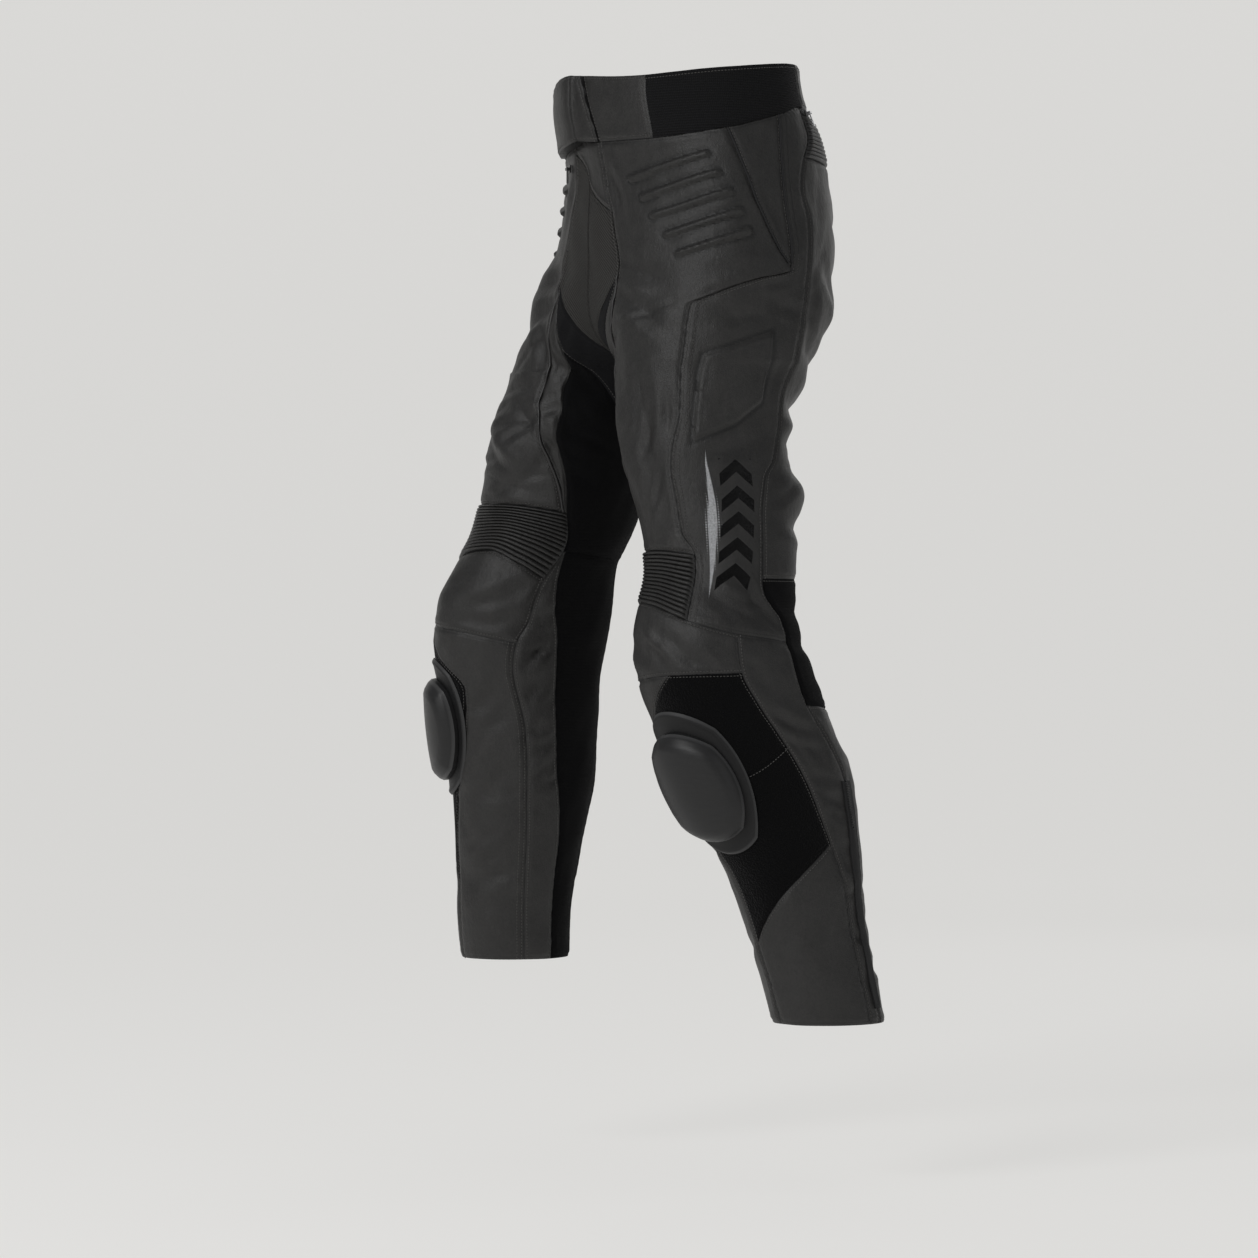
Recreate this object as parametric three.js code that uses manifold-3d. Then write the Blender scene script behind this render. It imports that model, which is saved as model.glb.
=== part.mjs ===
// Motorcycle trousers of leather and stretch cloth, hollow, in a walking stance.
// Millimetres, +Z up, +X to the wearer's left, -Y to the front.
// The origin is the centre of the waist, half way up the waistband.
import * as THREE from "three";
import Module from "manifold-3d";

const manifold = await Module();
manifold.setup();

// Driving sizes
const WALL = 2;
const BAND_WALL = 3.4;
const SEAM_GAP = 0.36;
const LAY_GAP = 0.35;
const CROTCH = -275;
const HEM = -940;
const COLUMN_STEP = 27;
const MEAN_GIRTH = 450;
const NEAR_STATIONS = 18;
const SHARPEST_CORNER = 0.25;
const WEB_RADIUS = 25;
const LEG_TURN_START = -105;
const LEG_JOIN_LENGTH = 110;
const SIDES = { left: 1, right: -1 };

// Rows of a table as objects with the named columns
function table(columns, rows) {
  const names = columns.split(" ");
  return rows.map((row) => Object.fromEntries(names.map((name, i) => [name, row[i]])));
}

// Sections of the hips, the same on both sides. t is the height on the pattern, rise the height
// gained by the bent knee, cx and cy the centre of the half section, ax, front and back its radii.
const SECTION_COLUMNS = "t rise cx ax cy front back";
const HIP_SECTIONS = table(SECTION_COLUMNS, [
  [45, 0, 0, 158, 0, 112, 112],
  [0, 0, 0, 162, 0, 112, 119],
  [-45, 0, 0, 169, 0, 105, 141],
  [-100, 0, 5, 172, 0, 101, 150],
  [-150, 0, 18, 164, 0, 101, 151],
  [-200, 0, 42, 142, 0, 102, 141],
  [-240, 0, 68, 114, 0, 104, 124],
  [CROTCH, 0, 90, 90, 0, 102, 106],
]);
const LEG_SECTIONS = {
  left: table(SECTION_COLUMNS, [
    [CROTCH, 0, 91, 90, -8, 102, 106],
    [-305, 0, 94, 87, -15, 94, 94],
    [-365, 0, 104, 81, -19, 88, 88],
    [-425, 0, 117, 77, -13, 83, 84],
    [-485, 0, 130, 72, -15, 75, 76],
    [-545, 0, 145, 75, -27, 84, 84],
    [-606, 0, 152, 72, -14, 94, 94],
    [-667, 0, 159, 68, 9, 94, 94],
    [-727, 0, 165, 64, 28, 88, 87],
    [-788, 0, 171, 58, 47, 71, 71],
    [-820, 0, 174, 55, 53, 65, 65],
    [HEM, 0, 185, 50, 80, 58, 58],
  ]),
  right: table(SECTION_COLUMNS, [
    [CROTCH, 0, 93, 90, -53, 104, 106],
    [-339, 18, 108, 85, -61, 97, 96],
    [-396, 34, 121, 81, -66, 92, 91],
    [-453, 50, 130, 77, -71, 86, 87],
    [-499, 56, 138, 74, -81, 85, 86],
    [-533, 55, 145, 73, -96, 87, 87],
    [-564, 54, 152, 75, -106, 95, 96],
    [-604, 52, 161, 75, -108, 95, 95],
    [-667, 50, 168, 71, -105, 84, 84],
    [-731, 48, 176, 68, -98, 80, 80],
    [-790, 47, 183, 64, -97, 73, 73],
    [-862, 46, 192, 56, -100, 63, 63],
    [HEM, 45, 202, 51, -97, 58, 58],
  ]),
};

// Seams on the pattern. u goes round a leg from the front middle, 0, past the front crease, the
// outer side, 0.5, and the back crease, to the back middle, 1. Below zero it goes on past the
// inseam to the inner back. Side seams run down, cross seams run towards larger u.
const seam = (rows) => table("u t", rows);
const BAND_TOP = seam([
  [-0.08, 23], [0, 24], [0.08, 23], [0.3, 15], [0.45, 20], [0.655, 31.5], [1, 40], [1.345, 31.5],
]);
const BAND_BOTTOM = seam([
  [-0.14, -46], [0, -42], [0.14, -46], [0.3, -49], [0.45, -41], [0.559, -25], [0.64, -13],
  [0.655, -12.8], [1, -8], [1.345, -12.8], [1.36, -13],
]);
const TAB_EDGE = seam([[0.08, 23], [0.12, -11], [0.14, -46]]);
const ELASTIC_FRONT = seam([[0.3, 15], [0.3, -49]]);
const ELASTIC_BACK = seam([[0.655, 31.5], [0.655, -12.8]]);
const ZIP_BOTTOM = seam([[0.639, -22], [1, -18], [1.361, -22]]);
const FLY_MIDDLE = seam([[0, -84], [0, -130], [0, -175], [0, -215], [0, -242], [0, -262]]);
const FLY_TOP_EDGE = seam([[-0.142, -54], [0, -84], [0.1, -103], [0.178, -120]]);
const FLY_BOTTOM = seam([
  [-0.208, -185], [-0.15, -216], [-0.06, -251], [0, -262], [0.06, -251], [0.15, -216], [0.208, -185],
]);
const INSEAM = seam([[0, -262], [0, -270], [0, CROTCH], [0, -282], [0, -295], [0, -310], [0, -350]]);
const FLY_SIDE = [[0.14, -46], [0.152, -90], [0.178, -120], [0.208, -185]];
const PIPING = [
  [0.207, -228], [0.205, -271], [0.19, -316], [0.15, -354], [0.105, -403], [0.054, -476.8],
];
const FRONT_LINE = seam([...FLY_SIDE, ...PIPING]);
const GUSSET_LINE = seam([
  [-0.2, -420], [-0.15, -403], [-0.1, -386], [-0.05, -368], [0, -350], [0.079, -310], [0.168, -256],
]);
const STRIP_TOP = seam([[0.168, -256], [0.188, -220.5], [0.208, -185]]);
const THIGH_LINE = [
  [0.5605, -183.5], [0.51, -193], [0.46, -202], [0.42, -211], [0.386, -220], [0.39, -277],
  [0.388, -326], [0.37, -362], [0.355, -398], [0.352, -447], [0.374, -470], [0.375, -535.5],
];
const POCKET_FRONT = seam([[0.45, -41], [0.492, -99], [0.54, -163], ...THIGH_LINE]);
const POCKET_TIP = -178;
const POCKET_BOTTOM = seam([[0.55, POCKET_TIP], [0.57, POCKET_TIP]]);
const POCKET_BACK = seam([[0.559, -25], [0.552, -73], [0.551, -100], [0.559, -146], ...THIGH_LINE]);
const OUTER_BACK_ROWS = seam([
  [0.64, -13], [0.639, -22], [0.637, -40], [0.603, -72], [0.589, -103], [0.6, -130], [0.597, -173],
  [0.595, -215], [0.593, -260], [0.592, -303], [0.594, -338], [0.578, -373],
  [0.546, -393], [0.527, -431], [0.526, -494], [0.532, -508], [0.584, -536], [0.593, -557],
  [0.586, -596], [0.61, -660], [0.632, -700], [0.62, -790],
  [0.62, -865], [0.62, HEM],
]);
const INNER_BACK_LINE = seam([
  [1, -70], [1, -112], [1, -155], [1, -198], [1, -235], [1, -258], [1, CROTCH], [1, -282],
  [1, -295], [1, -310], [1, -350],
  [0.95, -368], [0.9, -386], [0.85, -403], [0.8, -420], [0.8, -494], [0.8, -530], [0.8, -580],
  [0.8, -628], [0.797, -700], [0.795, -780], [0.792, -860], [0.79, HEM],
]);
const YOKE_BOTTOM = seam([[0.6, -66], [1, -70], [1.4, -66]]);
const INNER_LINE = seam([
  [0.168, -256], [0.161, -295], [0.118, -347], [0.074, -410], [0.044, -478], [0.018, -519],
  [0.03, -547], [0.039, -590], [0.06, -611], [0.068, -640], [0.05, -700], [0.048, -771],
  [0.034, -867], [0.03, HEM],
]);
const STRETCH_LINE = seam([
  [0.012, -519.4], [0.003, -547], [-0.007, -578], [-0.017, -608], [-0.018, -640], [-0.017, -668],
  [-0.017, -700], [-0.017, -730], [-0.035, -785], [-0.05, -835], [-0.06, HEM],
]);
const STRETCH_CROSS = seam([[-0.2, -530], [0.012, -519.4], [0.018, -519]]);
const PLEATS_TOP = seam([[0.044, -478], [0.054, -476.8], [0.185, -467], [0.28, -466], [0.374, -470]]);
const PLEATS_BOTTOM = seam([
  [0.03, -547], [0.1, -530], [0.185, -517], [0.28, -521], [0.375, -535.5], [0.475, -549], [0.593, -557],
]);
const KNEE_BOTTOM = seam([[0.06, -611], [0.196, -598], [0.329, -591], [0.471, -588]]);
const KNEE_BACK_TOP = seam([[0.526, -494], [0.8, -494]]);
const KNEE_BACK_BOTTOM = seam([[0.592, -620], [0.8, -628]]);
const LOOP_BACK_ROWS = seam([
  [0.475, -549], [0.471, -588], [0.483, -616], [0.524, -695], [0.534, -726], [0.556, -784],
  [0.568, -810], [0.568, -875], [0.568, HEM],
]);
const LOOP_FRONT_ROWS = seam([
  [0.329, -591], [0.25, -627], [0.18, -659], [0.192, -693], [0.25, -773], [0.262, -815],
  [0.268, -861], [0.27, HEM],
]);
const LOOP_SPLIT = seam([[0.21, -730], [0.436, -685], [0.52, -656]]);
const SHIN_LINE = seam([[0.26, -861], [0.391, -812], [0.55, -757]]);
const HEM_LINE = seam([[-0.3, HEM], [1, HEM]]);

// Steps from 0 to 1
const steps = (count) => Array.from({ length: count + 1 }, (_, i) => i / count);

function mix(a, b, s) {
  return { u: a.u + (b.u - a.u) * s, t: a.t + (b.t - a.t) * s };
}

// Value of one column of a table at a key, straight between its rows
function between(rows, key, column, value) {
  const rising = rows[rows.length - 1][key] > rows[0][key];
  const order = rising ? rows : [...rows].reverse();
  let i = 0;
  while (i < order.length - 2 && value > order[i + 1][key]) {
    i += 1;
  }
  const a = order[i];
  const b = order[i + 1];
  return a[column] + ((b[column] - a[column]) * (value - a[key])) / (b[key] - a[key]);
}

// Slopes that let a smooth curve pass every row of a section table without overshoot
function slopes(rows, firstFrom) {
  const names = SECTION_COLUMNS.split(" ").slice(1);
  const step = (i, name) => (rows[i + 1][name] - rows[i][name]) / (rows[i + 1].t - rows[i].t);
  return rows.map((row, i) => {
    const slope = {};
    for (const name of names) {
      const before = i > 0 ? step(i - 1, name) : step(0, name);
      const after = i < rows.length - 1 ? step(i, name) : before;
      slope[name] = before * after <= 0 ? 0 : (before + after) / 2;
      if (i === 0 && firstFrom && name !== "cx" && name !== "cy" && name !== "rise") {
        slope[name] = (slope[name] + firstFrom[name]) / 2;
      }
    }
    return slope;
  });
}

const HIP_SLOPES = slopes(HIP_SECTIONS);
const LEG_SLOPES = {
  left: slopes(LEG_SECTIONS.left, HIP_SLOPES[HIP_SLOPES.length - 1]),
  right: slopes(LEG_SECTIONS.right, HIP_SLOPES[HIP_SLOPES.length - 1]),
};

function sectionAt(rows, rowSlopes, t) {
  const top = rows[0].t;
  const bottom = rows[rows.length - 1].t;
  const height = Math.min(top, Math.max(bottom, t));
  let i = 0;
  while (i < rows.length - 2 && height < rows[i + 1].t) {
    i += 1;
  }
  const span = rows[i + 1].t - rows[i].t;
  const s = (height - rows[i].t) / span;
  const startPart = (1 + 2 * s) * (1 - s) ** 2;
  const endPart = s * s * (3 - 2 * s);
  const startSlope = s * (1 - s) ** 2 * span;
  const endSlope = s * s * (s - 1) * span;
  const section = {};
  for (const name of Object.keys(rowSlopes[0])) {
    section[name] = rows[i][name] * startPart + rows[i + 1][name] * endPart
      + rowSlopes[i][name] * startSlope + rowSlopes[i + 1][name] * endSlope;
  }
  return section;
}

// A point of one half section: an ellipse cut off at the middle of the body, with the middle
// rounded over so that both halves meet without a crease
function sectionPoint(section, u) {
  const cut = Math.acos(Math.min(1, section.cx / section.ax));
  const inFront = u <= 0.5;
  const turn = 2 * Math.PI * (inFront ? u : 1 - u);
  const angle = Math.sqrt(cut ** 2 + turn ** 2 * (1 - (cut / Math.PI) ** 2));
  const depth = inFront ? -section.front : section.back;
  const x = section.cx - section.ax * Math.cos(angle);
  const reach = WEB_RADIUS * Math.max(Math.sin(cut), 1e-6) ** 2;
  const web = (depth / section.ax) * Math.cos(cut) * WEB_RADIUS * Math.sin(cut);
  const y = section.cy + depth * Math.sin(angle) + web * Math.exp(-Math.max(x, 0) / Math.max(reach, 1e-3));
  return { x, y };
}

function smooth(value) {
  const s = Math.min(1, Math.max(0, value));
  return s * s * (3 - 2 * s);
}

// Outer surface of the garment at a pattern place of one side
function surface(sideName, u, t) {
  if (u < 0 || u > 1) {
    const other = sideName === "left" ? "right" : "left";
    if (t >= CROTCH) {
      return surface(other, u < 0 ? -u : 2 - u, t);
    }
    return surface(sideName, u < 0 ? 1 + u : u - 1, t);
  }
  const legRows = LEG_SECTIONS[sideName];
  const hipEnd = HIP_SECTIONS[HIP_SECTIONS.length - 1];
  const away = legRows[0].cx - hipEnd.cx;
  const ahead = legRows[0].cy - hipEnd.cy;
  const share = Math.sin(Math.PI * u) ** 2;
  const above = t >= CROTCH;
  const section = above
    ? sectionAt(HIP_SECTIONS, HIP_SLOPES, t)
    : sectionAt(legRows, LEG_SLOPES[sideName], t);
  const point = sectionPoint(section, u);
  const turned = Math.min(1, Math.max(0, (LEG_TURN_START - t) / (LEG_TURN_START - CROTCH))) ** 1.4;
  const joined = 1 - smooth((CROTCH - t) / LEG_JOIN_LENGTH);
  const weight = above ? turned * share : -(1 - share) * joined;
  const x = SIDES[sideName] * (point.x + away * weight);
  return new THREE.Vector3(x, point.y + ahead * weight, t + section.rise);
}

// Outward direction of the surface. On the middle of the body it has no sideways part.
function outward(sideName, u, t) {
  const du = 0.004;
  const dt = 1.5;
  const onMiddle = Math.abs(u - Math.round(u)) < du;
  if (onMiddle && Math.abs(t - CROTCH) < dt) {
    return new THREE.Vector3(0, 0, -1);
  }
  const alongU = surface(sideName, u + du, t).sub(surface(sideName, u - du, t));
  const alongT = surface(sideName, u, t + dt).sub(surface(sideName, u, t - dt));
  if (onMiddle && t > CROTCH) {
    alongU.set(alongU.x, 0, 0);
  }
  return alongU.cross(alongT).normalize().multiplyScalar(SIDES[sideName]);
}

// Stations of a seam: its rows, and on a cross seam points between them. Every panel on the seam
// passes through the same stations, so that its edge runs parallel to its neighbour's.
function stations(rows, key) {
  const result = [rows[0]];
  for (let i = 1; i < rows.length; i += 1) {
    const a = rows[i - 1];
    const b = rows[i];
    const count = key === "t" ? 1 : Math.ceil(((b.u - a.u) * MEAN_GIRTH) / COLUMN_STEP);
    for (let k = 1; k <= count; k += 1) {
      result.push(mix(a, b, k / count));
    }
  }
  return result;
}

// An edge of a panel along a seam. at gives the pattern place at a share of the edge, stops the
// shares at which the stations of the seam lie, also beyond its ends.
function edgeAlong(rows, key, from, to, move) {
  const points = stations(rows, key);
  const shares = points.map((point) => (point[key] - from) / (to - from));
  const order = shares[shares.length - 1] > shares[0] ? 1 : -1;
  const stops = order > 0 ? shares : [...shares].reverse();
  const other = key === "t" ? "u" : "t";
  return {
    at: (share) => {
      const value = from + (to - from) * share;
      return move({ [key]: value, [other]: between(rows, key, other, value) });
    },
    stops,
  };
}

function down(rows, top, bottom, shift = 0) {
  return edgeAlong(rows, "t", top, bottom, (place) => ({ u: place.u + shift, t: place.t }));
}

function across(rows, from, to) {
  return edgeAlong(rows, "u", from, to, (place) => place);
}

// The same edge on the other half of the body, for pieces that cross the back or front middle
function mirrored(edge, middle) {
  const at = (share) => ({ u: 2 * middle - edge.at(share).u, t: edge.at(share).t });
  return { at, stops: edge.stops };
}

// Place, point and outward direction at a share of an edge, straight between its stations
function onEdge(sideName, edge, share) {
  const { stops } = edge;
  let i = 0;
  while (i < stops.length - 2 && share > stops[i + 1]) {
    i += 1;
  }
  const s = Math.min(1, Math.max(0, (share - stops[i]) / (stops[i + 1] - stops[i])));
  const a = edge.at(stops[i]);
  const b = edge.at(stops[i + 1]);
  const point = surface(sideName, a.u, a.t).lerp(surface(sideName, b.u, b.t), s);
  const normal = outward(sideName, a.u, a.t).lerp(outward(sideName, b.u, b.t), s);
  return { ...edge.at(share), point, normal };
}

// Place where a side seam and a cross seam cross
function crossing(sideRows, crossRows) {
  let t = (crossRows[0].t + crossRows[crossRows.length - 1].t) / 2;
  for (let i = 0; i < 40; i += 1) {
    const u = between(sideRows, "t", "u", t);
    t += (between(crossRows, "u", "t", u) - t) * 0.6;
  }
  return { u: between(sideRows, "t", "u", t), t };
}

// A seam with one more row, where another seam ends on it
function joinedAt(rows, place) {
  const rising = rows[rows.length - 1].t > rows[0].t;
  const after = rows.findIndex((row) => (rising ? row.t > place.t : row.t < place.t));
  return [...rows.slice(0, after), place, ...rows.slice(after)];
}

// Shares of two facing edges that belong together: stations near each other are paired, the
// others get the share between their neighbours
function facing(first, second, length) {
  const inside = (edge) => [0, ...edge.stops.filter((stop) => stop > 1e-3 && stop < 1 - 1e-3), 1];
  const a = inside(first);
  const b = inside(second);
  const nearest = (stop, list) => list.reduce(
    (best, k) => (Math.abs(k - stop) < Math.abs(best - stop) ? k : best),
    list[0],
  );
  const near = NEAR_STATIONS / length;
  const pairs = a.map((stop) => [stop, nearest(stop, b)])
    .filter(([stop, match]) => Math.abs(stop - match) < near && nearest(match, a) === stop);
  const mapped = (stop, from, to) => {
    const k = pairs.findIndex((pair) => pair[from] > stop);
    const low = pairs[k - 1];
    const high = pairs[k];
    return low[to] + ((high[to] - low[to]) * (stop - low[from])) / (high[from] - low[from]);
  };
  const alone = (list, from) => list.filter((stop) => !pairs.some((pair) => pair[from] === stop));
  const extra = [
    ...alone(a, 0).map((stop) => [stop, mapped(stop, 0, 1)]),
    ...alone(b, 1).map((stop) => [mapped(stop, 1, 0), stop]),
  ];
  return [...pairs, ...extra].sort((p, q) => p[0] + p[1] - q[0] - q[1]);
}

function spanOf(sideName, edge) {
  const a = edge.at(0);
  const b = edge.at(1);
  return surface(sideName, a.u, a.t).distanceTo(surface(sideName, b.u, b.t));
}

// Places of a panel between four edges. rows and columns are pairs of shares of facing edges.
function patch(sideName, edges, rows, columns) {
  const { left, right, top, bottom } = edges;
  const corner = [left.at(0), right.at(0), left.at(1), right.at(1)];
  const lastRow = rows.length - 1;
  const lastColumn = columns.length - 1;
  return rows.map(([a, b], i) => columns.map(([c, d], j) => {
    if (j === 0) {
      return onEdge(sideName, left, a);
    }
    if (j === lastColumn) {
      return onEdge(sideName, right, b);
    }
    if (i === 0) {
      return onEdge(sideName, top, c);
    }
    if (i === lastRow) {
      return onEdge(sideName, bottom, d);
    }
    const s = c + (d - c) * ((a + b) / 2);
    const r = a + (b - a) * s;
    const blend = (name) => (1 - s) * left.at(a)[name] + s * right.at(b)[name]
      + (1 - r) * top.at(c)[name] + r * bottom.at(d)[name]
      - (1 - r) * ((1 - s) * corner[0][name] + s * corner[1][name])
      - r * ((1 - s) * corner[2][name] + s * corner[3][name]);
    return { u: blend("u"), t: blend("t") };
  }));
}

// Which way round a grid lies: 1 where the outward direction crossed with the way down the rows
// points along the columns, otherwise -1
function handOf(points, normals) {
  let sum = 0;
  for (let i = 1; i < points.length; i += 1) {
    for (let j = 1; j < points[0].length; j += 1) {
      const below = points[i][j].clone().sub(points[i - 1][j]);
      const beside = points[i][j].clone().sub(points[i][j - 1]);
      sum += normals[i][j].clone().cross(below).dot(beside);
    }
  }
  return Math.sign(sum);
}

// Moves of the points on the edge of a grid into the grid, half a seam gap from each stretch of
// edge that meets at the point, at right angles to the stretch and to the outward direction
function insets(points, normals) {
  const last = points.length - 1;
  const end = points[0].length - 1;
  const hand = handOf(points, normals);
  const inward = (i, j, nextRow, nextColumn, turn) => {
    const along = points[nextRow][nextColumn].clone().sub(points[i][j]);
    const normal = normals[i][j].clone().add(normals[nextRow][nextColumn]);
    return normal.cross(along).normalize().multiplyScalar(turn * hand);
  };
  return points.map((row, i) => row.map((point, j) => {
    const moves = [];
    if (j === 0 || j === end) {
      const turn = j === 0 ? 1 : -1;
      if (i < last) {
        moves.push(inward(i, j, i + 1, j, turn));
      }
      if (i > 0) {
        moves.push(inward(i, j, i - 1, j, -turn));
      }
    }
    if (i === 0 || i === last) {
      const turn = i === 0 ? -1 : 1;
      if (j < end) {
        moves.push(inward(i, j, i, j + 1, turn));
      }
      if (j > 0) {
        moves.push(inward(i, j, i, j - 1, -turn));
      }
    }
    if (moves.length === 0) {
      return new THREE.Vector3();
    }
    const spread = Math.max(1 + moves[0].dot(moves[1]), SHARPEST_CORNER);
    return moves[0].clone().add(moves[1]).multiplyScalar(SEAM_GAP / 2 / spread);
  }));
}

// Closed solid between two grids of points, each four-cornered face cut along its shorter diagonal
function shell(outer, inner) {
  const rows = outer.length;
  const columns = outer[0].length;
  const foot = rows - 1;
  const end = columns - 1;
  const positions = [];
  for (const grid of [outer, inner]) {
    for (const row of grid) {
      for (const point of row) {
        positions.push(point.x, point.y, point.z);
      }
    }
  }
  const outside = (i, j) => i * columns + j;
  const inside = (i, j) => rows * columns + i * columns + j;
  const index = [];
  const corner = (k) => new THREE.Vector3().fromArray(positions, k * 3);
  const quad = (a, b, c, d) => {
    if (corner(a).distanceTo(corner(c)) <= corner(b).distanceTo(corner(d))) {
      index.push(a, b, c, a, c, d);
    } else {
      index.push(b, c, d, b, d, a);
    }
  };
  for (let i = 0; i < rows - 1; i += 1) {
    for (let j = 0; j < columns - 1; j += 1) {
      quad(outside(i, j), outside(i + 1, j), outside(i + 1, j + 1), outside(i, j + 1));
      quad(inside(i, j), inside(i, j + 1), inside(i + 1, j + 1), inside(i + 1, j));
    }
  }
  for (let j = 0; j < columns - 1; j += 1) {
    quad(outside(0, j + 1), inside(0, j + 1), inside(0, j), outside(0, j));
    quad(outside(foot, j), inside(foot, j), inside(foot, j + 1), outside(foot, j + 1));
  }
  for (let i = 0; i < rows - 1; i += 1) {
    quad(outside(i, 0), inside(i, 0), inside(i + 1, 0), outside(i + 1, 0));
    quad(outside(i + 1, end), inside(i + 1, end), inside(i, end), outside(i, end));
  }
  const geometry = new THREE.BufferGeometry();
  geometry.setAttribute("position", new THREE.Float32BufferAttribute(positions, 3));
  geometry.setIndex(volume(positions, index) < 0 ? turnedOver(index) : index);
  return geometry;
}

function volume(positions, index) {
  const corner = (k) => new THREE.Vector3().fromArray(positions, index[k] * 3);
  let sum = 0;
  for (let k = 0; k < index.length; k += 3) {
    sum += corner(k).dot(corner(k + 1).cross(corner(k + 2)));
  }
  return sum;
}

function turnedOver(index) {
  const result = [];
  for (let k = 0; k < index.length; k += 3) {
    result.push(index[k], index[k + 2], index[k + 1]);
  }
  return result;
}

// Wall on a grid of pattern places. raise moves the outer points out, lift moves the whole wall.
function wallOn(sideName, places, options = {}) {
  const { wall = WALL, raise = () => 0, lift = () => 0, thick = () => 0 } = options;
  const points = places.map((row) => row.map((place) => place.point
    ?? surface(sideName, place.u, place.t)));
  const normals = places.map((row) => row.map((place) => place.normal
    ?? outward(sideName, place.u, place.t)));
  const inset = insets(points, normals);
  const layer = (height) => points.map((row, i) => row.map((point, j) => point.clone()
    .add(inset[i][j])
    .addScaledVector(normals[i][j], height(places[i][j], i, j))));
  const outer = layer((place, i, j) => lift(place) + raise(place, i, j));
  const inner = layer((place) => lift(place) - wall - thick(place));
  return shell(outer, inner);
}

const COLOURS = {
  leather: { color: 0x393635, roughness: 0.5, metalness: 0 },
  stretch: { color: 0x131315, roughness: 0.85, metalness: 0 },
  weave: { color: 0x33312f, roughness: 0.8, metalness: 0 },
  elastic: { color: 0x101011, roughness: 0.9, metalness: 0 },
  loop: { color: 0x0b0b0c, roughness: 1, metalness: 0 },
  plastic: { color: 0x2b2b2c, roughness: 0.35, metalness: 0 },
  base: { color: 0x222223, roughness: 0.6, metalness: 0 },
  tape: { color: 0x18181a, roughness: 0.85, metalness: 0 },
  metal: { color: 0xb9bbbd, roughness: 0.3, metalness: 1 },
};

const trousers = new THREE.Group();

function addPiece(name, geometry, finish) {
  const mesh = new THREE.Mesh(geometry, new THREE.MeshStandardMaterial(COLOURS[finish]));
  mesh.name = name;
  trousers.add(mesh);
  return mesh;
}

// A plain panel between four edges
function panel(name, sideName, edges, finish, options = {}) {
  const rows = facing(edges.left, edges.right, spanOf(sideName, edges.left));
  const columns = facing(edges.top, edges.bottom, spanOf(sideName, edges.bottom));
  addPiece(name, wallOn(sideName, patch(sideName, edges, rows, columns), options), finish);
}

// A ribbed panel: two rows for each rib, every second row raised over a plain inside
function ribbedPanel(name, sideName, edges, ribs, height, finish) {
  const rows = steps(2 * ribs).map((share) => [share, share]);
  const columns = facing(edges.top, edges.bottom, spanOf(sideName, edges.bottom));
  const options = { raise: (place, i) => (i % 2 === 1 ? height : 0) };
  addPiece(name, wallOn(sideName, patch(sideName, edges, rows, columns), options), finish);
}

// Grid of a panel with a raised middle: marked rows with their own points, each with a left and a
// right height on the side seams, and above and below them plain rows through the seams' stations
function net(sideName, seams, ends, marked, counts, shares) {
  const plainRows = (from, to) => {
    const left = down(seams.left, from.left, to.left);
    const right = down(seams.right, from.right, to.right);
    return facing(left, right, from.left - to.left)
      .map(([a, b]) => ({ left: left.at(a).t, right: right.at(b).t }));
  };
  const above = plainRows(ends.top, marked[0]).slice(0, -1);
  const below = plainRows(marked[marked.length - 1], ends.bottom).slice(1);
  const rows = [...above, ...marked, ...below];
  const heights = [seams.left, seams.right].map((seamRows, k) => {
    const side = rows.map((row) => (k === 0 ? row.left : row.right));
    const bottom = side[side.length - 1];
    for (const { t } of seamRows.filter((row) => row.t < side[0] && row.t > bottom)) {
      const gaps = side.map((height) => Math.abs(height - t));
      gaps[0] = Infinity;
      gaps[gaps.length - 1] = Infinity;
      side[gaps.indexOf(Math.min(...gaps))] = t;
    }
    return side;
  });
  const edges = [seams.left, seams.right].map((seamRows, k) => {
    const side = heights[k];
    const bottom = side[side.length - 1];
    const edge = down(seamRows, side[0], bottom);
    return side.map((t) => onEdge(sideName, edge, (t - side[0]) / (bottom - side[0])));
  });
  const places = rows.map((row, i) => {
    const left = edges[0][i];
    const right = edges[1][i];
    const points = [left, ...(row.inner ?? shares.map((share) => mix(left, right, share))), right];
    const line = [left];
    counts.forEach((count, part) => {
      for (const s of steps(count).slice(1)) {
        line.push(mix(points[part], points[part + 1], s));
      }
    });
    line[line.length - 1] = right;
    return line;
  });
  const last = places.length - 1;
  places[0] = onCrossSeam(sideName, seams.top, places[0]);
  places[last] = onCrossSeam(sideName, seams.bottom, places[last]);
  return { places, rows };
}

// The inner places of a row moved onto a cross seam, each station of the seam met by one of them
function onCrossSeam(sideName, seamRows, line) {
  const end = line.length - 1;
  const edge = across(seamRows, line[0].u, line[end].u);
  const shares = line.map((place) => (place.u - line[0].u) / (line[end].u - line[0].u));
  for (const stop of edge.stops.filter((share) => share > 0.01 && share < 0.99)) {
    const gaps = shares.map((share, j) => (j % end === 0 ? Infinity : Math.abs(share - stop)));
    shares[gaps.indexOf(Math.min(...gaps))] = stop;
  }
  return line.map((place, j) => (j % end === 0 ? place : onEdge(sideName, edge, shares[j])));
}

// Places of a net that stand proud: marked rows, and the columns of its middle part
function raised(rows, counts, height) {
  const first = counts[0] + counts[1];
  const last = first + counts[2];
  return (place, i, j) => (rows[i].raised && j >= first && j <= last ? height : 0);
}

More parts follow.
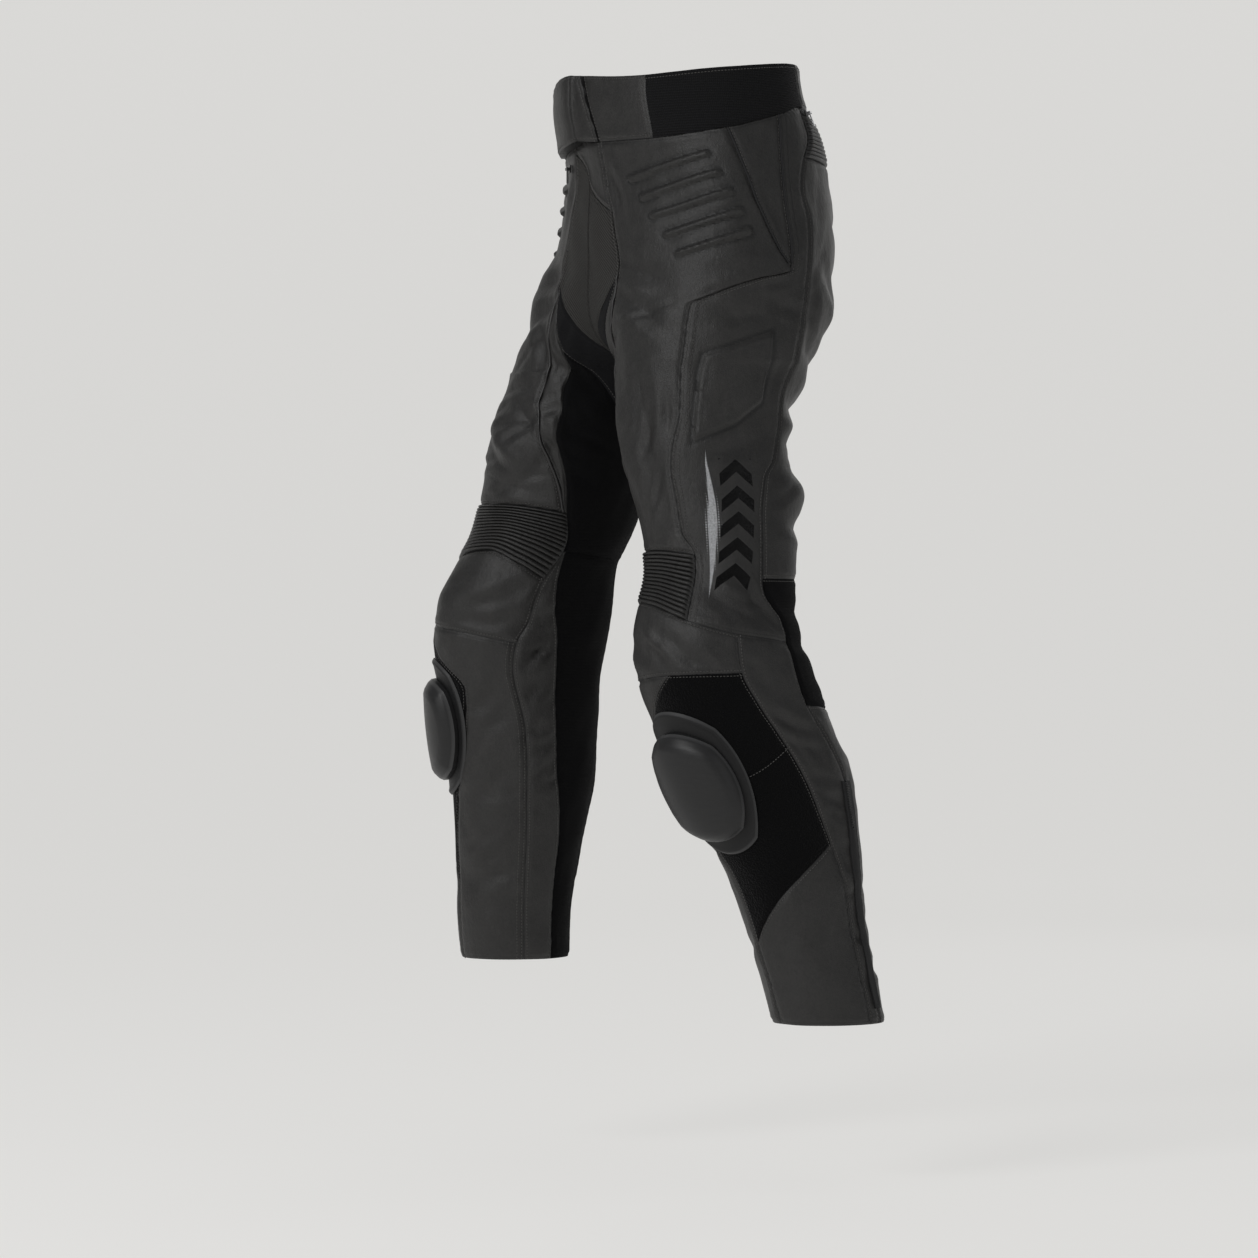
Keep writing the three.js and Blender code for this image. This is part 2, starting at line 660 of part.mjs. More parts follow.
// Hip and front thigh with the five sloping padded bars
const BAR_COUNT = 5;
const BAR_HEIGHT = 3.4;
const BAR_WIDTH = 8;
const BAR_END = 0.05;
const LOWEST_BAR = [{ u: 0.352, t: -168 }, { u: 0.486, t: -146 }];
const HIGHEST_BAR = [{ u: 0.238, t: -88 }, { u: 0.405, t: -68 }];
const BAR_ROWS = [[0.5, false], [0.22, true], [-0.22, true], [-0.5, false]];

function hip(sideName) {
  const counts = [3, 1, 3, 1, 2];
  const marked = [];
  for (let bar = BAR_COUNT - 1; bar >= 0; bar -= 1) {
    const share = bar / (BAR_COUNT - 1);
    const start = mix(LOWEST_BAR[0], HIGHEST_BAR[0], share);
    const end = mix(LOWEST_BAR[1], HIGHEST_BAR[1], share);
    for (const [offset, isTop] of BAR_ROWS) {
      const at = (s) => ({ u: mix(start, end, s).u, t: mix(start, end, s).t + offset * BAR_WIDTH });
      marked.push({
        left: at(0).t - 4,
        right: at(1).t + 4,
        inner: [at(0), at(BAR_END), at(1 - BAR_END), at(1)],
        raised: isTop,
      });
    }
  }
  const seams = { left: FRONT_LINE, right: POCKET_FRONT, top: BAND_BOTTOM, bottom: PLEATS_TOP };
  const ends = { top: { left: -46, right: -41 }, bottom: { left: -476.8, right: -470 } };
  const { places, rows } = net(sideName, seams, ends, marked, counts, [0.3, 0.4, 0.7, 0.8]);
  const raise = raised(rows, counts, BAR_HEIGHT);
  addPiece(`hip_${sideName}`, wallOn(sideName, places, { raise }), "leather");
}

// Outer thigh with its raised armour plateau
const PLATEAU_HEIGHT = 3.2;
const PLATEAU_EDGE = 0.035;
const PLATEAU_TOP = [{ u: 0.424, t: -272 }, { u: 0.536, t: -246 }];
const PLATEAU_WAIST = [{ u: 0.417, t: -322 }, { u: 0.541, t: -296 }];
const PLATEAU_KNEE = [{ u: 0.41, t: -372 }, { u: 0.545, t: -328 }];

function outerThigh(sideName) {
  const counts = [1, 1, 3, 1, 1];
  const border = (ends, shift) => {
    const at = (s) => ({ u: mix(ends[0], ends[1], s).u, t: mix(ends[0], ends[1], s).t + shift });
    return [at(0), at(PLATEAU_EDGE), at(1 - PLATEAU_EDGE), at(1)];
  };
  const marked = [
    { left: -262, right: -243, inner: border(PLATEAU_TOP, 0) },
    { left: -277, right: -260, inner: border(PLATEAU_TOP, -4), raised: true },
    { left: -326, right: -303, inner: border(PLATEAU_WAIST, 0), raised: true },
    { left: -355, right: -328, inner: border(PLATEAU_KNEE, 4), raised: true },
    { left: -364, right: -338, inner: border(PLATEAU_KNEE, 0) },
  ];
  const seams = { left: POCKET_BACK, right: OUTER_BACK_LINE, top: BAND_BOTTOM, bottom: PLEATS_BOTTOM };
  const ends = { top: { left: -25, right: -13 }, bottom: { left: -535.5, right: -557 } };
  const { places, rows } = net(sideName, seams, ends, marked, counts, [0.2, 0.26, 0.66, 0.72]);
  const raise = raised(rows, counts, PLATEAU_HEIGHT);
  addPiece(`side_${sideName}`, wallOn(sideName, places, { raise }), "leather");
}

// Places where cross seams end on side seams, and the side seams with a row at each of them
const CROSSINGS = {
  backBottom: crossing(OUTER_BACK_ROWS, KNEE_BACK_BOTTOM),
  yokeCorner: crossing(OUTER_BACK_ROWS, YOKE_BOTTOM),
  splitFront: crossing(LOOP_FRONT_ROWS, LOOP_SPLIT),
  splitBack: crossing(LOOP_BACK_ROWS, LOOP_SPLIT),
  shinFront: crossing(LOOP_FRONT_ROWS, SHIN_LINE),
  shinBack: crossing(LOOP_BACK_ROWS, SHIN_LINE),
};
const OUTER_BACK_LINE = joinedAt(joinedAt(OUTER_BACK_ROWS, CROSSINGS.backBottom), CROSSINGS.yokeCorner);
const LOOP_FRONT = joinedAt(joinedAt(LOOP_FRONT_ROWS, CROSSINGS.splitFront), CROSSINGS.shinFront);
const LOOP_BACK = joinedAt(joinedAt(LOOP_BACK_ROWS, CROSSINGS.splitBack), CROSSINGS.shinBack);

// Ribs of the stretch pleats above the knee and above the seat
const KNEE_RIBS = 14;
const KNEE_RIB_HEIGHT = 2.6;
const YOKE_RIBS = 11;
const YOKE_RIB_HEIGHT = 2.2;

function legPanels(side) {
  const add = (name, finish, left, right, top, bottom) => {
    panel(`${name}_${side}`, side, { left, right, top, bottom }, finish);
  };
  const { backBottom, yokeCorner, splitFront, splitBack, shinFront, shinBack } = CROSSINGS;
  add("pocket", "leather", down(POCKET_FRONT, -41, POCKET_TIP), down(POCKET_BACK, -25, POCKET_TIP),
    across(BAND_BOTTOM, 0.45, 0.559), across(POCKET_BOTTOM, 0.5535, 0.5601));
  add("gusset", "leather", down(INSEAM, -262, -350), down(STRIP_TOP, -185, -256),
    across(FLY_BOTTOM, 0, 0.208), across(GUSSET_LINE, 0, 0.168));
  add("inner_strip", "leather", down(INNER_LINE, -256, -478), down(FRONT_LINE, -185, -476.8),
    across(STRIP_TOP, 0.168, 0.208), across(PLEATS_TOP, 0.044, 0.054));
  add("inner_stretch", "stretch", down(INNER_BACK_LINE, -420, -530, -1), down(INNER_LINE, -256, -519),
    across(GUSSET_LINE, -0.2, 0.168), across(STRETCH_CROSS, -0.2, 0.018));
  add("seat", "leather", down(OUTER_BACK_LINE, yokeCorner.t, -494), down(INNER_BACK_LINE, -70, -494),
    across(YOKE_BOTTOM, yokeCorner.u, 1), across(KNEE_BACK_TOP, 0.526, 0.8));
  add("knee_back", "stretch", down(OUTER_BACK_LINE, -494, backBottom.t),
    down(INNER_BACK_LINE, -494, -628),
    across(KNEE_BACK_TOP, 0.526, 0.8), across(KNEE_BACK_BOTTOM, backBottom.u, 0.8));
  add("knee", "leather", down(INNER_LINE, -547, -611), down(LOOP_BACK, -549, -588),
    across(PLEATS_BOTTOM, 0.03, 0.475), across(KNEE_BOTTOM, 0.06, 0.471));
  add("calf_outer", "leather", down(LOOP_BACK, -549, HEM), down(OUTER_BACK_LINE, -557, HEM),
    across(PLEATS_BOTTOM, 0.475, 0.593), across(HEM_LINE, 0.568, 0.62));
  add("loop_upper", "loop", down(LOOP_FRONT, -591, splitFront.t), down(LOOP_BACK, -588, splitBack.t),
    across(KNEE_BOTTOM, 0.329, 0.471), across(LOOP_SPLIT, splitFront.u, splitBack.u));
  add("loop_lower", "loop", down(LOOP_FRONT, splitFront.t, shinFront.t),
    down(LOOP_BACK, splitBack.t, shinBack.t), across(LOOP_SPLIT, splitFront.u, splitBack.u),
    across(SHIN_LINE, shinFront.u, shinBack.u));
  add("shin", "leather", down(LOOP_FRONT, shinFront.t, HEM), down(LOOP_BACK, shinBack.t, HEM),
    across(SHIN_LINE, shinFront.u, shinBack.u), across(HEM_LINE, 0.27, 0.568));
  add("shin_inner", "leather", down(INNER_LINE, -611, HEM), down(LOOP_FRONT, -591, HEM),
    across(KNEE_BOTTOM, 0.06, 0.329), across(HEM_LINE, 0.03, 0.27));
  add("calf_inner", "leather", down(STRETCH_LINE, -519.4, HEM), down(INNER_LINE, -519, HEM),
    across(STRETCH_CROSS, 0.012, 0.018), across(HEM_LINE, -0.06, 0.03));
  add("calf_stretch", "stretch", down(INNER_BACK_LINE, -530, HEM, -1), down(STRETCH_LINE, -519.4, HEM),
    across(STRETCH_CROSS, -0.2, 0.012), across(HEM_LINE, -0.21, -0.06));
  add("calf_back", "leather", down(OUTER_BACK_LINE, backBottom.t, HEM), down(INNER_BACK_LINE, -628, HEM),
    across(KNEE_BACK_BOTTOM, backBottom.u, 0.8), across(HEM_LINE, 0.62, 0.79));
  const pleats = {
    left: down(INNER_LINE, -478, -547),
    right: down(POCKET_BACK, -470, -535.5),
    top: across(PLEATS_TOP, 0.044, 0.374),
    bottom: across(PLEATS_BOTTOM, 0.03, 0.375),
  };
  ribbedPanel(`knee_pleats_${side}`, side, pleats, KNEE_RIBS, KNEE_RIB_HEIGHT, "leather");
}

// Knee slider: a base plate on the loop fields and a crowned puck on the plate
const SLIDER_PLACE = { u: 0.302, t: -697 };
const PLATE = { halfWidth: 51, halfHeight: 71, wall: 2.6, gap: 0.8 };
const PUCK = { halfWidth: 42, halfHeight: 53, edge: 7, crown: 12, gap: 0.5 };
const PUCK_SHAPE = 3;

function disc(sideName, place, halfWidth, halfHeight, columns, rows) {
  const span = 0.01;
  const ahead = surface(sideName, place.u + span, place.t);
  const millimetresPerU = ahead.distanceTo(surface(sideName, place.u - span, place.t)) / (2 * span);
  return steps(rows).map((down01) => steps(columns).map((across01) => {
    const a = 2 * across01 - 1;
    const b = 1 - 2 * down01;
    const x = a * Math.sqrt(1 - b * b * 0.42);
    const y = b * Math.sqrt(1 - a * a * 0.42);
    return {
      u: place.u + (x * halfWidth) / millimetresPerU,
      t: place.t + y * halfHeight,
      reach: Math.max(Math.abs(a), Math.abs(b)),
    };
  }));
}

function slider(sideName) {
  const plate = disc(sideName, SLIDER_PLACE, PLATE.halfWidth, PLATE.halfHeight, 8, 8);
  const plateLift = () => PLATE.gap + PLATE.wall;
  const plateOptions = { lift: plateLift, wall: PLATE.wall };
  addPiece(`slider_base_${sideName}`, wallOn(sideName, plate, plateOptions), "base");
  const puck = disc(sideName, { ...SLIDER_PLACE, t: -699 }, PUCK.halfWidth, PUCK.halfHeight, 8, 10);
  const foot = PLATE.gap + PLATE.wall + PUCK.gap;
  const options = {
    lift: () => foot + PUCK.edge,
    wall: PUCK.edge,
    raise: (place) => PUCK.crown * (1 - place.reach ** PUCK_SHAPE),
  };
  addPiece(`slider_${sideName}`, wallOn(sideName, puck, options), "plastic");
}

// Zip up the back of the calf
const CALF_ZIP = { top: -697, bottom: -925, half: 0.019, wall: 1.4, chain: 1.6 };

function calfZip(sideName) {
  const { top, bottom, half, wall, chain } = CALF_ZIP;
  const left = down(OUTER_BACK_LINE, top, bottom, -half);
  const right = down(OUTER_BACK_LINE, top, bottom, half);
  const rows = facing(left, right, top - bottom);
  const places = rows.map(([share]) => [0, 0.3, 0.5, 0.7, 1]
    .map((s) => mix(onEdge(sideName, left, share), onEdge(sideName, right, share), s)));
  const options = {
    wall,
    lift: () => LAY_GAP + wall,
    raise: (place, i, j) => (j === 2 ? chain : 0),
  };
  addPiece(`calf_zip_${sideName}`, wallOn(sideName, places, options), "tape");
}

for (const sideName of Object.keys(SIDES)) {
  hip(sideName);
  outerThigh(sideName);
  legPanels(sideName);
  slider(sideName);
  calfZip(sideName);
}

// Waistband, fly and yoke. The front tab is padded and stands proud of the body.
const TAB_BULGE = { middle: -0.1, spread: 0.17, height: 14 };
const BAND_LIFT = 1;

function bandOptions(fromFront) {
  const bulge = (place) => TAB_BULGE.height
    * Math.exp(-(((fromFront * place.u - TAB_BULGE.middle) / TAB_BULGE.spread) ** 2));
  return {
    wall: BAND_WALL,
    lift: (place) => BAND_LIFT + bulge(place),
    thick: bulge,
  };
}

function waist() {
  panel("waistband_right_front", "right", {
    left: mirrored(down(TAB_EDGE, 23, -46), 0),
    right: down(ELASTIC_FRONT, 15, -49),
    top: across(BAND_TOP, -0.08, 0.3),
    bottom: across(BAND_BOTTOM, -0.14, 0.3),
  }, "leather", bandOptions(-1));
  panel("waistband_left_front", "left", {
    left: down(TAB_EDGE, 23, -46),
    right: down(ELASTIC_FRONT, 15, -49),
    top: across(BAND_TOP, 0.08, 0.3),
    bottom: across(BAND_BOTTOM, 0.14, 0.3),
  }, "leather", { wall: BAND_WALL, lift: () => BAND_LIFT });
  for (const sideName of Object.keys(SIDES)) {
    panel(`waistband_elastic_${sideName}`, sideName, {
      left: down(ELASTIC_FRONT, 15, -49),
      right: down(ELASTIC_BACK, 31.5, -12.8),
      top: across(BAND_TOP, 0.3, 0.655),
      bottom: across(BAND_BOTTOM, 0.3, 0.655),
    }, "elastic", { wall: BAND_WALL, lift: () => BAND_LIFT });
  }
  panel("waistband_back", "left", {
    left: down(ELASTIC_BACK, 31.5, -12.8),
    right: mirrored(down(ELASTIC_BACK, 31.5, -12.8), 1),
    top: across(BAND_TOP, 0.655, 1.345),
    bottom: across(BAND_BOTTOM, 0.655, 1.345),
  }, "leather", { wall: BAND_WALL, lift: () => BAND_LIFT });
  const flySide = down(FRONT_LINE, -46, -120);
  panel("fly_leather", "left", {
    left: mirrored(down(FRONT_LINE, -46, -54), 0),
    right: flySide,
    top: across(BAND_BOTTOM, -0.14, 0.14),
    bottom: across(FLY_TOP_EDGE, -0.142, 0.178),
  }, "leather");
  panel("fly_panel_left", "left", {
    left: down(FLY_MIDDLE, -84, -262),
    right: down(FRONT_LINE, -120, -185),
    top: across(FLY_TOP_EDGE, 0, 0.178),
    bottom: across(FLY_BOTTOM, 0, 0.208),
  }, "weave");
  panel("fly_panel_right", "left", {
    left: mirrored(down(FRONT_LINE, -54, -185), 0),
    right: down(FLY_MIDDLE, -84, -262),
    top: across(FLY_TOP_EDGE, -0.142, 0),
    bottom: across(FLY_BOTTOM, -0.208, 0),
  }, "weave");
  panel("connection_zip_tape", "left", {
    left: down(OUTER_BACK_LINE, -13, -22),
    right: mirrored(down(OUTER_BACK_LINE, -13, -22), 1),
    top: across(BAND_BOTTOM, 0.64, 1.36),
    bottom: across(ZIP_BOTTOM, 0.639, 1.361),
  }, "tape");
  const { yokeCorner } = CROSSINGS;
  ribbedPanel("seat_yoke", "left", {
    left: down(OUTER_BACK_LINE, -22, yokeCorner.t),
    right: mirrored(down(OUTER_BACK_LINE, -22, yokeCorner.t), 1),
    top: across(ZIP_BOTTOM, 0.639, 1.361),
    bottom: across(YOKE_BOTTOM, yokeCorner.u, 2 - yokeCorner.u),
  }, YOKE_RIBS, YOKE_RIB_HEIGHT, "leather");
}

// Zip sliders with a pull tab that hangs on a pin between two ears
const PULL = {
  places: {
    fly_zip: { side: "right", u: 0.19, t: -66, lift: 0.6, hangs: true },
    connection_zip: { side: "left", u: 0.668, t: -18.4, lift: 0.5, hangs: false },
  },
  bodyWidth: 7,
  bodyLength: 8,
  bodyThickness: 1.6,
  earThickness: 1.2,
  earRadius: 1.4,
  pinRadius: 0.5,
  holeRadius: 0.85,
  barrelRadius: 1.45,
  tabWidth: 3.9,
  tabLength: 15,
  tabThickness: 1.2,
  play: 0.35,
};
const ROUND_STEPS = 8;

// Frame of a zip slider: origin on the cloth, +X level, +Z out, -Y down, plumb where the tab hangs
function pullFrame({ side, u, t, lift, hangs }) {
  const out = outward(side, u, t);
  const level = new THREE.Vector3(0, 0, 1).cross(out).normalize();
  if (hangs) {
    out.crossVectors(level, new THREE.Vector3(0, 0, 1)).normalize();
  }
  const up = new THREE.Vector3().crossVectors(out, level);
  const origin = surface(side, u, t).addScaledVector(outward(side, u, t), lift);
  return new THREE.Matrix4().makeBasis(level, up, out).setPosition(origin);
}

// A disc lying across the slider's width, at a height over the cloth
function crossDisc(radius, width, height) {
  const geometry = new THREE.CylinderGeometry(radius, radius, width, 3 * ROUND_STEPS);
  return geometry.rotateZ(Math.PI / 2).translate(0, 0, height);
}

function block(width, length, thickness, x, y, z) {
  return new THREE.BoxGeometry(width, length, thickness).translate(x, y, z);
}

// Manifold solid of a geometry, and the geometry of a manifold solid
function toSolid(geometry) {
  const { position } = geometry.attributes;
  const order = geometry.index?.array ?? [...Array(position.count).keys()];
  const mesh = new manifold.Mesh({
    numProp: 3,
    vertProperties: new Float32Array(position.array),
    triVerts: new Uint32Array(order),
  });
  mesh.merge();
  return new manifold.Manifold(mesh);
}

function toGeometry(solid) {
  const mesh = solid.getMesh();
  const geometry = new THREE.BufferGeometry();
  geometry.setAttribute("position", new THREE.Float32BufferAttribute(mesh.vertProperties, 3));
  geometry.setIndex([...mesh.triVerts]);
  return geometry;
}

function zipPull(name, place) {
  const { bodyWidth, bodyLength, bodyThickness, earThickness, earRadius, pinRadius } = PULL;
  const { holeRadius, barrelRadius, tabWidth, tabLength, tabThickness, play } = PULL;
  const frame = pullFrame(place);
  const floor = LAY_GAP + bodyThickness;
  const pinHeight = floor + play + barrelRadius;
  const earMiddle = (tabWidth + earThickness) / 2 + play;
  const earFoot = LAY_GAP + bodyThickness / 2;
  const earHeight = pinHeight + earRadius - earFoot;
  const ears = [-earMiddle, earMiddle]
    .map((x) => block(earThickness, 2 * earRadius, earHeight, x, 0, earFoot + earHeight / 2));
  const body = [
    block(bodyWidth, bodyLength, bodyThickness, 0, 0, LAY_GAP + bodyThickness / 2),
    crossDisc(pinRadius, 2 * earMiddle, pinHeight),
    ...ears,
  ].map(toSolid);
  const bodyGeometry = toGeometry(manifold.Manifold.union(body));
  addPiece(`${name}_slider`, bodyGeometry.applyMatrix4(frame), "metal");
  const tab = manifold.Manifold.union([
    toSolid(crossDisc(barrelRadius, tabWidth, pinHeight)),
    toSolid(block(tabWidth, tabLength, tabThickness, 0, -tabLength / 2, pinHeight)),
  ]).subtract(toSolid(crossDisc(holeRadius, 2 * tabWidth, pinHeight)));
  addPiece(`${name}_pull`, toGeometry(tab).applyMatrix4(frame), "metal");
}

waist();
for (const [name, place] of Object.entries(PULL.places)) {
  zipPull(name, place);
}

export default trousers;
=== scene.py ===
# Looks of the motorcycle trousers: cloth with folds, stitching, zips, print, materials and light.
# Pattern sizes are in millimetres and become metres where a mesh is made.
import math
import bpy
import numpy as np
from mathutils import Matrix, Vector


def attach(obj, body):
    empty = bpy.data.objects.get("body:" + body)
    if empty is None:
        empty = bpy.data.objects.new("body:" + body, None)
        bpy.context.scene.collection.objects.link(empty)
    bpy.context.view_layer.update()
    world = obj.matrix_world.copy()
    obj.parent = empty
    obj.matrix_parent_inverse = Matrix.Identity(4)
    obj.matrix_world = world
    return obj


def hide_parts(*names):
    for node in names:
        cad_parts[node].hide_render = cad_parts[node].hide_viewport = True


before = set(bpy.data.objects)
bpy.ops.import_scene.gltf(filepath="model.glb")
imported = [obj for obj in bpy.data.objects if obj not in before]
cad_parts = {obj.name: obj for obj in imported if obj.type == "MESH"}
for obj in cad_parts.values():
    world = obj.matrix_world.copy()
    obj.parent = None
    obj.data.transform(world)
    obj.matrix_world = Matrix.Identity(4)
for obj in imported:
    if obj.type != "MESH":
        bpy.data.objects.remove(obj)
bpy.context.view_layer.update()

# Driving sizes
MM = 0.001
WALL = 2.0
BAND_WALL = 3.4
BAND_LIFT = 1.0
SKIN = 0.3
CROTCH = -275.0
HEM = -940.0
WEB_RADIUS = 25.0
LEG_TURN_START = -105.0
LEG_TURN_POWER = 1.4
LEG_JOIN_LENGTH = 110.0
GRID_STEP = 4.1
FINE_STEP = 2.6
BODY = "trousers"
SIDES = {"left": 1.0, "right": -1.0}
OTHER_SIDE = {"left": "right", "right": "left"}

# Camera and floor
CAMERA_PLACE = (4.0387, -1.9395, -0.5444)
CAMERA_AZIMUTH = 65.0
CAMERA_LENS = 123.4
SENSOR = 36.0
FLOOR_HEIGHT = -1.105


def make_camera():
    data = bpy.data.cameras.new("camera")
    data.lens = CAMERA_LENS
    data.sensor_width = SENSOR
    data.clip_end = 100
    camera = bpy.data.objects.new("camera", data)
    camera.location = CAMERA_PLACE
    camera.rotation_euler = (math.radians(90), 0, math.radians(CAMERA_AZIMUTH))
    bpy.context.scene.collection.objects.link(camera)
    bpy.context.scene.camera = camera


make_camera()


# Tables with named columns
def table(columns, rows):
    return {name: np.array([row[i] for row in rows], float)
            for i, name in enumerate(columns.split())}


# Sections of the hips and legs. t is the height on the pattern, rise the height gained by the bent
# knee, cx and cy the centre of the half section, ax, front and back its radii.
SECTION_COLUMNS = "t rise cx ax cy front back"
HIP_SECTIONS = table(SECTION_COLUMNS, [
    [45, 0, 0, 158, 0, 112, 112],
    [0, 0, 0, 162, 0, 112, 119],
    [-45, 0, 0, 169, 0, 105, 141],
    [-100, 0, 5, 172, 0, 101, 150],
    [-150, 0, 18, 164, 0, 101, 151],
    [-200, 0, 42, 142, 0, 102, 141],
    [-240, 0, 68, 114, 0, 104, 124],
    [CROTCH, 0, 90, 90, 0, 102, 106],
])
LEG_SECTIONS = {
    "left": table(SECTION_COLUMNS, [
        [CROTCH, 0, 91, 90, -8, 102, 106],
        [-305, 0, 94, 87, -15, 94, 94],
        [-365, 0, 104, 81, -19, 88, 88],
        [-425, 0, 117, 77, -13, 83, 84],
        [-485, 0, 130, 72, -15, 75, 76],
        [-545, 0, 145, 75, -27, 84, 84],
        [-606, 0, 152, 72, -14, 94, 94],
        [-667, 0, 159, 68, 9, 94, 94],
        [-727, 0, 165, 64, 28, 88, 87],
        [-788, 0, 171, 58, 47, 71, 71],
        [-820, 0, 174, 55, 53, 65, 65],
        [HEM, 0, 185, 50, 80, 58, 58],
    ]),
    "right": table(SECTION_COLUMNS, [
        [CROTCH, 0, 93, 90, -53, 104, 106],
        [-339, 18, 108, 85, -61, 97, 96],
        [-396, 34, 121, 81, -66, 92, 91],
        [-453, 50, 130, 77, -71, 86, 87],
        [-499, 56, 138, 74, -81, 85, 86],
        [-533, 55, 145, 73, -96, 87, 87],
        [-564, 54, 152, 75, -106, 95, 96],
        [-604, 52, 161, 75, -108, 95, 95],
        [-667, 50, 168, 71, -105, 84, 84],
        [-731, 48, 176, 68, -98, 80, 80],
        [-790, 47, 183, 64, -97, 73, 73],
        [-862, 46, 192, 56, -100, 63, 63],
        [HEM, 45, 202, 51, -97, 58, 58],
    ]),
}


def slopes(rows, first_from=None):
    result = {}
    for name in SECTION_COLUMNS.split()[1:]:
        step = np.diff(rows[name]) / np.diff(rows["t"])
        before = np.concatenate([step[:1], step])
        after = np.concatenate([step, step[-1:]])
        result[name] = np.where(before * after <= 0, 0, (before + after) / 2)
        if first_from is not None and name in ("ax", "front", "back"):
            result[name][0] = (result[name][0] + first_from[name][-1]) / 2
    return result


HIP_SLOPES = slopes(HIP_SECTIONS)
LEG_SLOPES = {side: slopes(LEG_SECTIONS[side], HIP_SLOPES) for side in SIDES}


def section_at(rows, row_slopes, t):
    depths = -rows["t"]
    depth = np.clip(-t, depths[0], depths[-1])
    i = np.clip(np.searchsorted(depths, depth, side="right") - 1, 0, len(depths) - 2)
    span = rows["t"][i + 1] - rows["t"][i]
    s = (-depth - rows["t"][i]) / span
    start_part = (1 + 2 * s) * (1 - s) ** 2
    end_part = s * s * (3 - 2 * s)
    start_slope = s * (1 - s) ** 2 * span
    end_slope = s * s * (s - 1) * span
    return {name: rows[name][i] * start_part + rows[name][i + 1] * end_part
            + slope[i] * start_slope + slope[i + 1] * end_slope
            for name, slope in row_slopes.items()}


# A soft step from 0 to 1
def smooth(value):
    s = np.clip(value, 0, 1)
    return s * s * (3 - 2 * s)


# A soft hump of height 1 round a place
def bell(value, place, width):
    return np.exp(-((value - place) / width) ** 2)


# A point of one half section: an ellipse cut off at the middle of the body, rounded over there
def section_point(section, u):
    cut = np.arccos(np.minimum(1, section["cx"] / section["ax"]))
    in_front = u <= 0.5
    turn = 2 * math.pi * np.where(in_front, u, 1 - u)
    angle = np.sqrt(cut ** 2 + turn ** 2 * (1 - (cut / math.pi) ** 2))
    depth = np.where(in_front, -section["front"], section["back"])
    x = section["cx"] - section["ax"] * np.cos(angle)
    reach = WEB_RADIUS * np.maximum(np.sin(cut), 1e-6) ** 2
    web = (depth / section["ax"]) * np.cos(cut) * WEB_RADIUS * np.sin(cut)
    fade = np.exp(-np.maximum(x, 0) / np.maximum(reach, 1e-3))
    return x, section["cy"] + depth * np.sin(angle) + web * fade


def half_surface(side, u, t):
    legs = LEG_SECTIONS[side]
    away = legs["cx"][0] - HIP_SECTIONS["cx"][-1]
    ahead = legs["cy"][0] - HIP_SECTIONS["cy"][-1]
    share = np.sin(math.pi * u) ** 2
    above = t >= CROTCH
    hip = section_at(HIP_SECTIONS, HIP_SLOPES, t)
    leg = section_at(legs, LEG_SLOPES[side], t)
    section = {name: np.where(above, hip[name], leg[name]) for name in hip}
    x, y = section_point(section, u)
    turned = np.clip((LEG_TURN_START - t) / (LEG_TURN_START - CROTCH), 0, 1)
    joined = 1 - smooth((CROTCH - t) / LEG_JOIN_LENGTH)
    weight = np.where(above, turned ** LEG_TURN_POWER * share, -(1 - share) * joined)
    return np.stack([SIDES[side] * (x + away * weight), y + ahead * weight,
                     t + section["rise"]], -1)


# Outer surface at places of the pattern. u goes round a leg from the front middle, 0, past the
# outer side, 0.5, to the back middle, 1, and past either end to the other side or round the leg.
def surface(side, u, t):
    u, t = np.broadcast_arrays(np.asarray(u, float), np.asarray(t, float))
    past = (u < 0) | (u > 1)
    crosses = past & (t >= CROTCH)
    folded = np.where(u < 0, -u, 2 - u)
    wrapped = np.where(u < 0, u + 1, u - 1)
    place = np.where(crosses, folded, np.where(past, wrapped, u))
    result = np.empty(u.shape + (3,))
    for name, chosen in ((side, ~crosses), (OTHER_SIDE[side], crosses)):
        if chosen.any():
            result[chosen] = half_surface(name, place[chosen], t[chosen])
    return result


def unit(vectors):
    return vectors / np.maximum(np.linalg.norm(vectors, axis=-1, keepdims=True), 1e-9)


def outward(side, u, t):
    u, t = np.broadcast_arrays(np.asarray(u, float), np.asarray(t, float))
    du = 0.004
    dt = 1.5
    along_u = surface(side, u + du, t) - surface(side, u - du, t)
    along_t = surface(side, u, t + dt) - surface(side, u, t - dt)
    on_middle = np.abs(u - np.round(u)) < du
    along_u[on_middle & (t > CROTCH), 1:] = 0
    normal = unit(np.cross(along_u, along_t)) * SIDES[side]
    normal[on_middle & (np.abs(t - CROTCH) < dt)] = (0, 0, -1)
    return normal


# Girth of one leg or half body, for pattern coordinates in millimetres
GIRTH_HEIGHTS = np.linspace(50, HEM, 100)


def girths(side):
    around = surface(side, np.linspace(0, 1, 61)[None, :], GIRTH_HEIGHTS[:, None])
    return np.linalg.norm(np.diff(around, axis=1), axis=-1).sum(1)


GIRTHS = {side: girths(side) for side in SIDES}


def girth_at(side, t):
    return np.interp(-t, -GIRTH_HEIGHTS, GIRTHS[side])


# Seams on the pattern, the same as on the solids
def seam(rows):
    return table("u t", rows)


